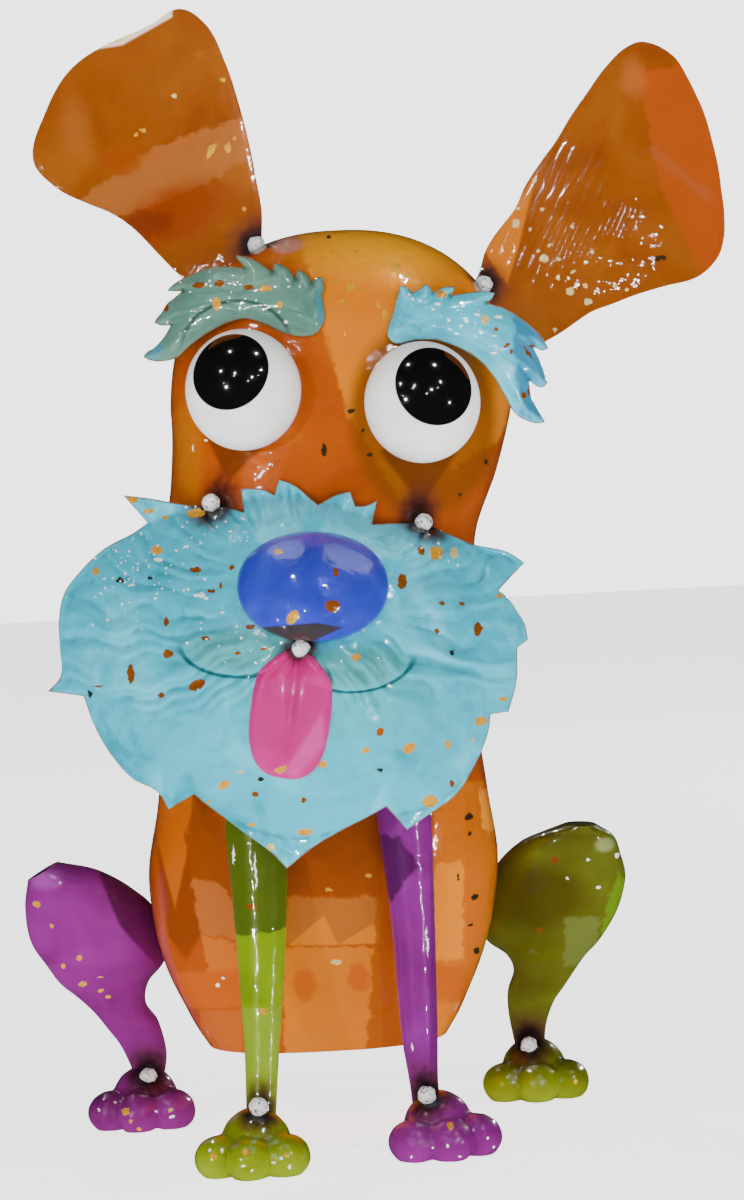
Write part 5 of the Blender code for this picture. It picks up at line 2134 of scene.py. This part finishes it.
# Painted shadow of the beard across the tops of the front legs, and painted shade down the left front leg's
# right side; the right front leg is lighter at its lower end. The right thigh: painted shade on its inner
# face, a lighter spot at its top left, darker at its lower right. The left thigh: darker in its middle, a
# lime painted reflection along its right edge, a paler patch, two reddish specks of the enamel's own and a
# pale painted highlight.
LIMB_PATCHES = {
    "front_leg_right": (
        Panel((66, 80, 16), ((215, 760), (300, 760), (300, 924), (215, 937)), 0.95, 1.5, True),
        Panel((132, 156, 40), ((215, 1006), (300, 1006), (300, 1110), (215, 1110)), 0.7, 2.0, True),
    ),
    "front_leg_left": (
        Panel((66, 6, 68), ((370, 790), (399, 834), (425, 834), (425, 853), (388, 904), (370, 904)),
              0.9, 2.0, True),
        Panel((86, 14, 84), ((431, 800), (450, 800), (446, 1090), (429, 1090)), 0.6, 2.0),
    ),
    "rear_leg_right": (
        Panel((66, 6, 56), ((63, 856), (97, 866), (136, 893), (158, 924), (162, 958), (155, 986),
                            (141, 984), (121, 934), (97, 900)), 0.9, 2.0),
        Zone((150, 66, 156), (44, 878), (15, 12), 0.0, 0.6, 0.5),
        Zone((112, 20, 96), (150, 1010), (40, 60), 0.0, 0.5, 0.5),
    ),
    "rear_leg_left": (
        Zone((66, 56, 0), (544, 900), (42, 32), 0.0, 0.85, 0.4),
        Panel((90, 130, 0), ((616, 870), (630, 890), (608, 945), (598, 938), (612, 899)), 0.8, 2.0, True),
        Panel((100, 114, 50), ((567, 922), (603, 922), (601, 976), (569, 976)), 0.6, 2.0, True),
        Zone((124, 50, 10), (555, 861), (4, 4), 0.0, 0.8, 0.3),
        Zone((124, 50, 10), (542, 936), (3, 3), 0.0, 0.8, 0.3),
        Zone((150, 160, 100), (606, 846), (10, 7), 0.0, 0.7, 0.4),
    ),
}
# White painted glints: long painted highlight streaks down the front legs, and small glints on the left
# thigh and the paws.
LIMB_FLECKS = {
    "front_leg_right": (flecks(FoilAndGlint.GOLD, (264, 1009, 4, 3))
                        + flecks(FoilAndGlint.BROWN, (252, 904, 5.5, 3))
                        + flecks(FoilAndGlint.GLINT, (234, 854, 0.9, 9.4), (256, 868, 0.9, 17.3))),
    "front_leg_left": flecks(FoilAndGlint.GLINT, (427, 940, 0.9, 14.4), (412, 1046, 0.9, 4.3)),
    "rear_leg_right": flecks(FoilAndGlint.GOLD, (36, 906, 4, 3), (50, 928), (77, 962, 3.5, 3),
                             (60, 971, 2.5, 3), (79, 991, 4, 3), (97, 983, 3.5, 1), (97, 998, 3, 2.5),
                             (104, 1005, 2.5, 2)),
    "rear_leg_left": flecks(FoilAndGlint.GLINT, (619, 858, 2.9, 2.2), (600, 890, 2.2, 1.4), (589, 861),
                            (568, 880)),
    "paw_front_right": (flecks(FoilAndGlint.GOLD, (246, 1147, 3, 3), (214, 1154, 3, 3), (287, 1151, 3, 2))
                        + flecks(FoilAndGlint.GLINT, (210, 1149), (222, 1149), (244, 1160), (252, 1164),
                                 (274, 1158), (282, 1154), (290, 1163, 1.4, 2.9))),
    "paw_front_left": (flecks(FoilAndGlint.GOLD, (450, 1123, 3, 3))
                       + flecks(FoilAndGlint.GLINT, (411, 1152), (433, 1143), (447, 1141), (460, 1152),
                                (487, 1137), (494, 1147))),
    "paw_rear_right": (flecks(FoilAndGlint.GOLD, (127, 1107, 4, 3.5), (133, 1116), (141, 1125), (172, 1106))
                       + flecks(FoilAndGlint.GLINT, (99, 1108), (104, 1099), (115, 1101), (157, 1108),
                                (173, 1113, 2.2, 1.4))),
}


def bead_places(drawing: Drawing) -> dict[str, Place]:
    """Places of the weld beads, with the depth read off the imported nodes.

    Args:
        drawing: the drawing that the places are in.

    Returns:
        Place by node name.
    """
    places = {}
    for node, (x, y, z) in BEAD_SPOTS.items():
        if y == 0.0:
            y = drawing.units(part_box(node)[0]).y + Bead.radius
        places[node] = (x, y, z)
    return places


def main() -> None:
    """Build the sub-assemblies in order, dress them and light the scene."""
    logging.basicConfig(level=logging.INFO, format="%(name)s: %(message)s")
    trunk = Trunk()
    drawing = Drawing.from_frame(EYES[0].place[0], trunk.middle_y, trunk.base)
    log.info("drawing shifted by %s", tuple(round(value, 5) for value in drawing.shift))
    beads = bead_places(drawing)
    ear_burns = (Burn(beads["weld_ear_right"], 15.0), Burn(beads["weld_ear_left"], 13.0))
    beard_burns = tuple(Burn(beads[node], 15.0, 1.3) for node in ("weld_beard_right", "weld_beard_left"))
    tongue_burn = Burn(beads["weld_tongue"], 9.0)
    orange = Enamel((166, 70, 0), (180, 82, 0), (148, 60, 0), patches=TRUNK_PATCHES, flecks=TRUNK_FLECKS,
                    burns=(*ear_burns, *beard_burns), glint_patches=TRUNK_GLINT_PATCHES,
                    plain_from=drawing.metres((0.0, trunk.middle_y, 0.0)).y)
    trunk.build(drawing, orange)
    beard = Beard()
    beard.settle(drawing)
    turquoise = Enamel((52, 184, 210), (86, 206, 230), (28, 152, 174), crisp=0.09, dents=0.5, hollow_shade=0.32,
                       edge=(128, 84, 34), burns=(*beard_burns, tongue_burn), patches=BEARD_PATCHES,
                       flecks=BEARD_FLECKS, glint_patches=BEARD_GLINT_PATCHES)
    beard.build(drawing, turquoise)
    nose = Boss("nose_dome", "nose", Slot.BLUE, (-3.0, 249.0), -4.0, (65.0, 46.0), 13.0, 2.1)
    blue = Enamel((50, 62, 190), (62, 80, 206), (38, 46, 158), patches=NOSE_PATCHES, flecks=NOSE_FLECKS,
                  burns=(tongue_burn,))
    nose.build(drawing, blue, beard)
    tongue = Boss("tongue_plate", "tongue", Slot.PINK, (-15.0, 196.0), -10.0, (34.5, 56.0), 3.5, 2.7,
                  groove=1.6, bead=0.6, taper=0.5)
    pink = Enamel((186, 38, 120), (198, 50, 136), (166, 22, 102), burns=(tongue_burn,),
                  patches=TONGUE_PATCHES, flecks=TONGUE_FLECKS, fleck_reach=0.06)
    tongue.build(drawing, pink, beard)
    for ear in EARS:
        brown = Enamel((134, 66, 2), (147, 78, 8), (118, 50, 0), dents=0.15, burns=ear_burns,
                       patches=EAR_PATCHES[ear.node], flecks=EAR_FLECKS[ear.node])
        ear.build(drawing, brown)
    for brow in BROWS:
        teal = Enamel(*BROW_PAINT[brow.node], edge=(120, 92, 44), hollow_shade=0.8,
                      patches=BROW_PATCHES[brow.node], flecks=BROW_FLECKS[brow.node],
                      glint_patches=BROW_GLINT_PATCHES[brow.node])
        brow.build(drawing, teal)
    for eye in EYES:
        eye.build(drawing, trunk)
    for leg in (*FRONT_LEGS, *REAR_LEGS, *PAWS):
        bead = "weld_paw_" + leg.node.replace("paw_", "").replace("_leg", "")
        paint = Enamel(*LIMB_PAINT[leg.node], burns=(Burn(beads[bead], 14.0, 1.2),), hollow_shade=0.5,
                       patches=LIMB_PATCHES.get(leg.node, ()), flecks=LIMB_FLECKS.get(leg.node, ()))
        if leg in FRONT_LEGS:
            leg.build(drawing, paint, trunk)
        else:
            leg.build(drawing, paint)
    steel = WeldMetal().material("weld_metal")
    for node, place in beads.items():
        Bead(node, place).build(drawing, steel)
    studio = Studio()
    studio.camera(drawing)
    studio.floor()
    studio.air()
    studio.lights()


if __name__ == "__main__":
    main()
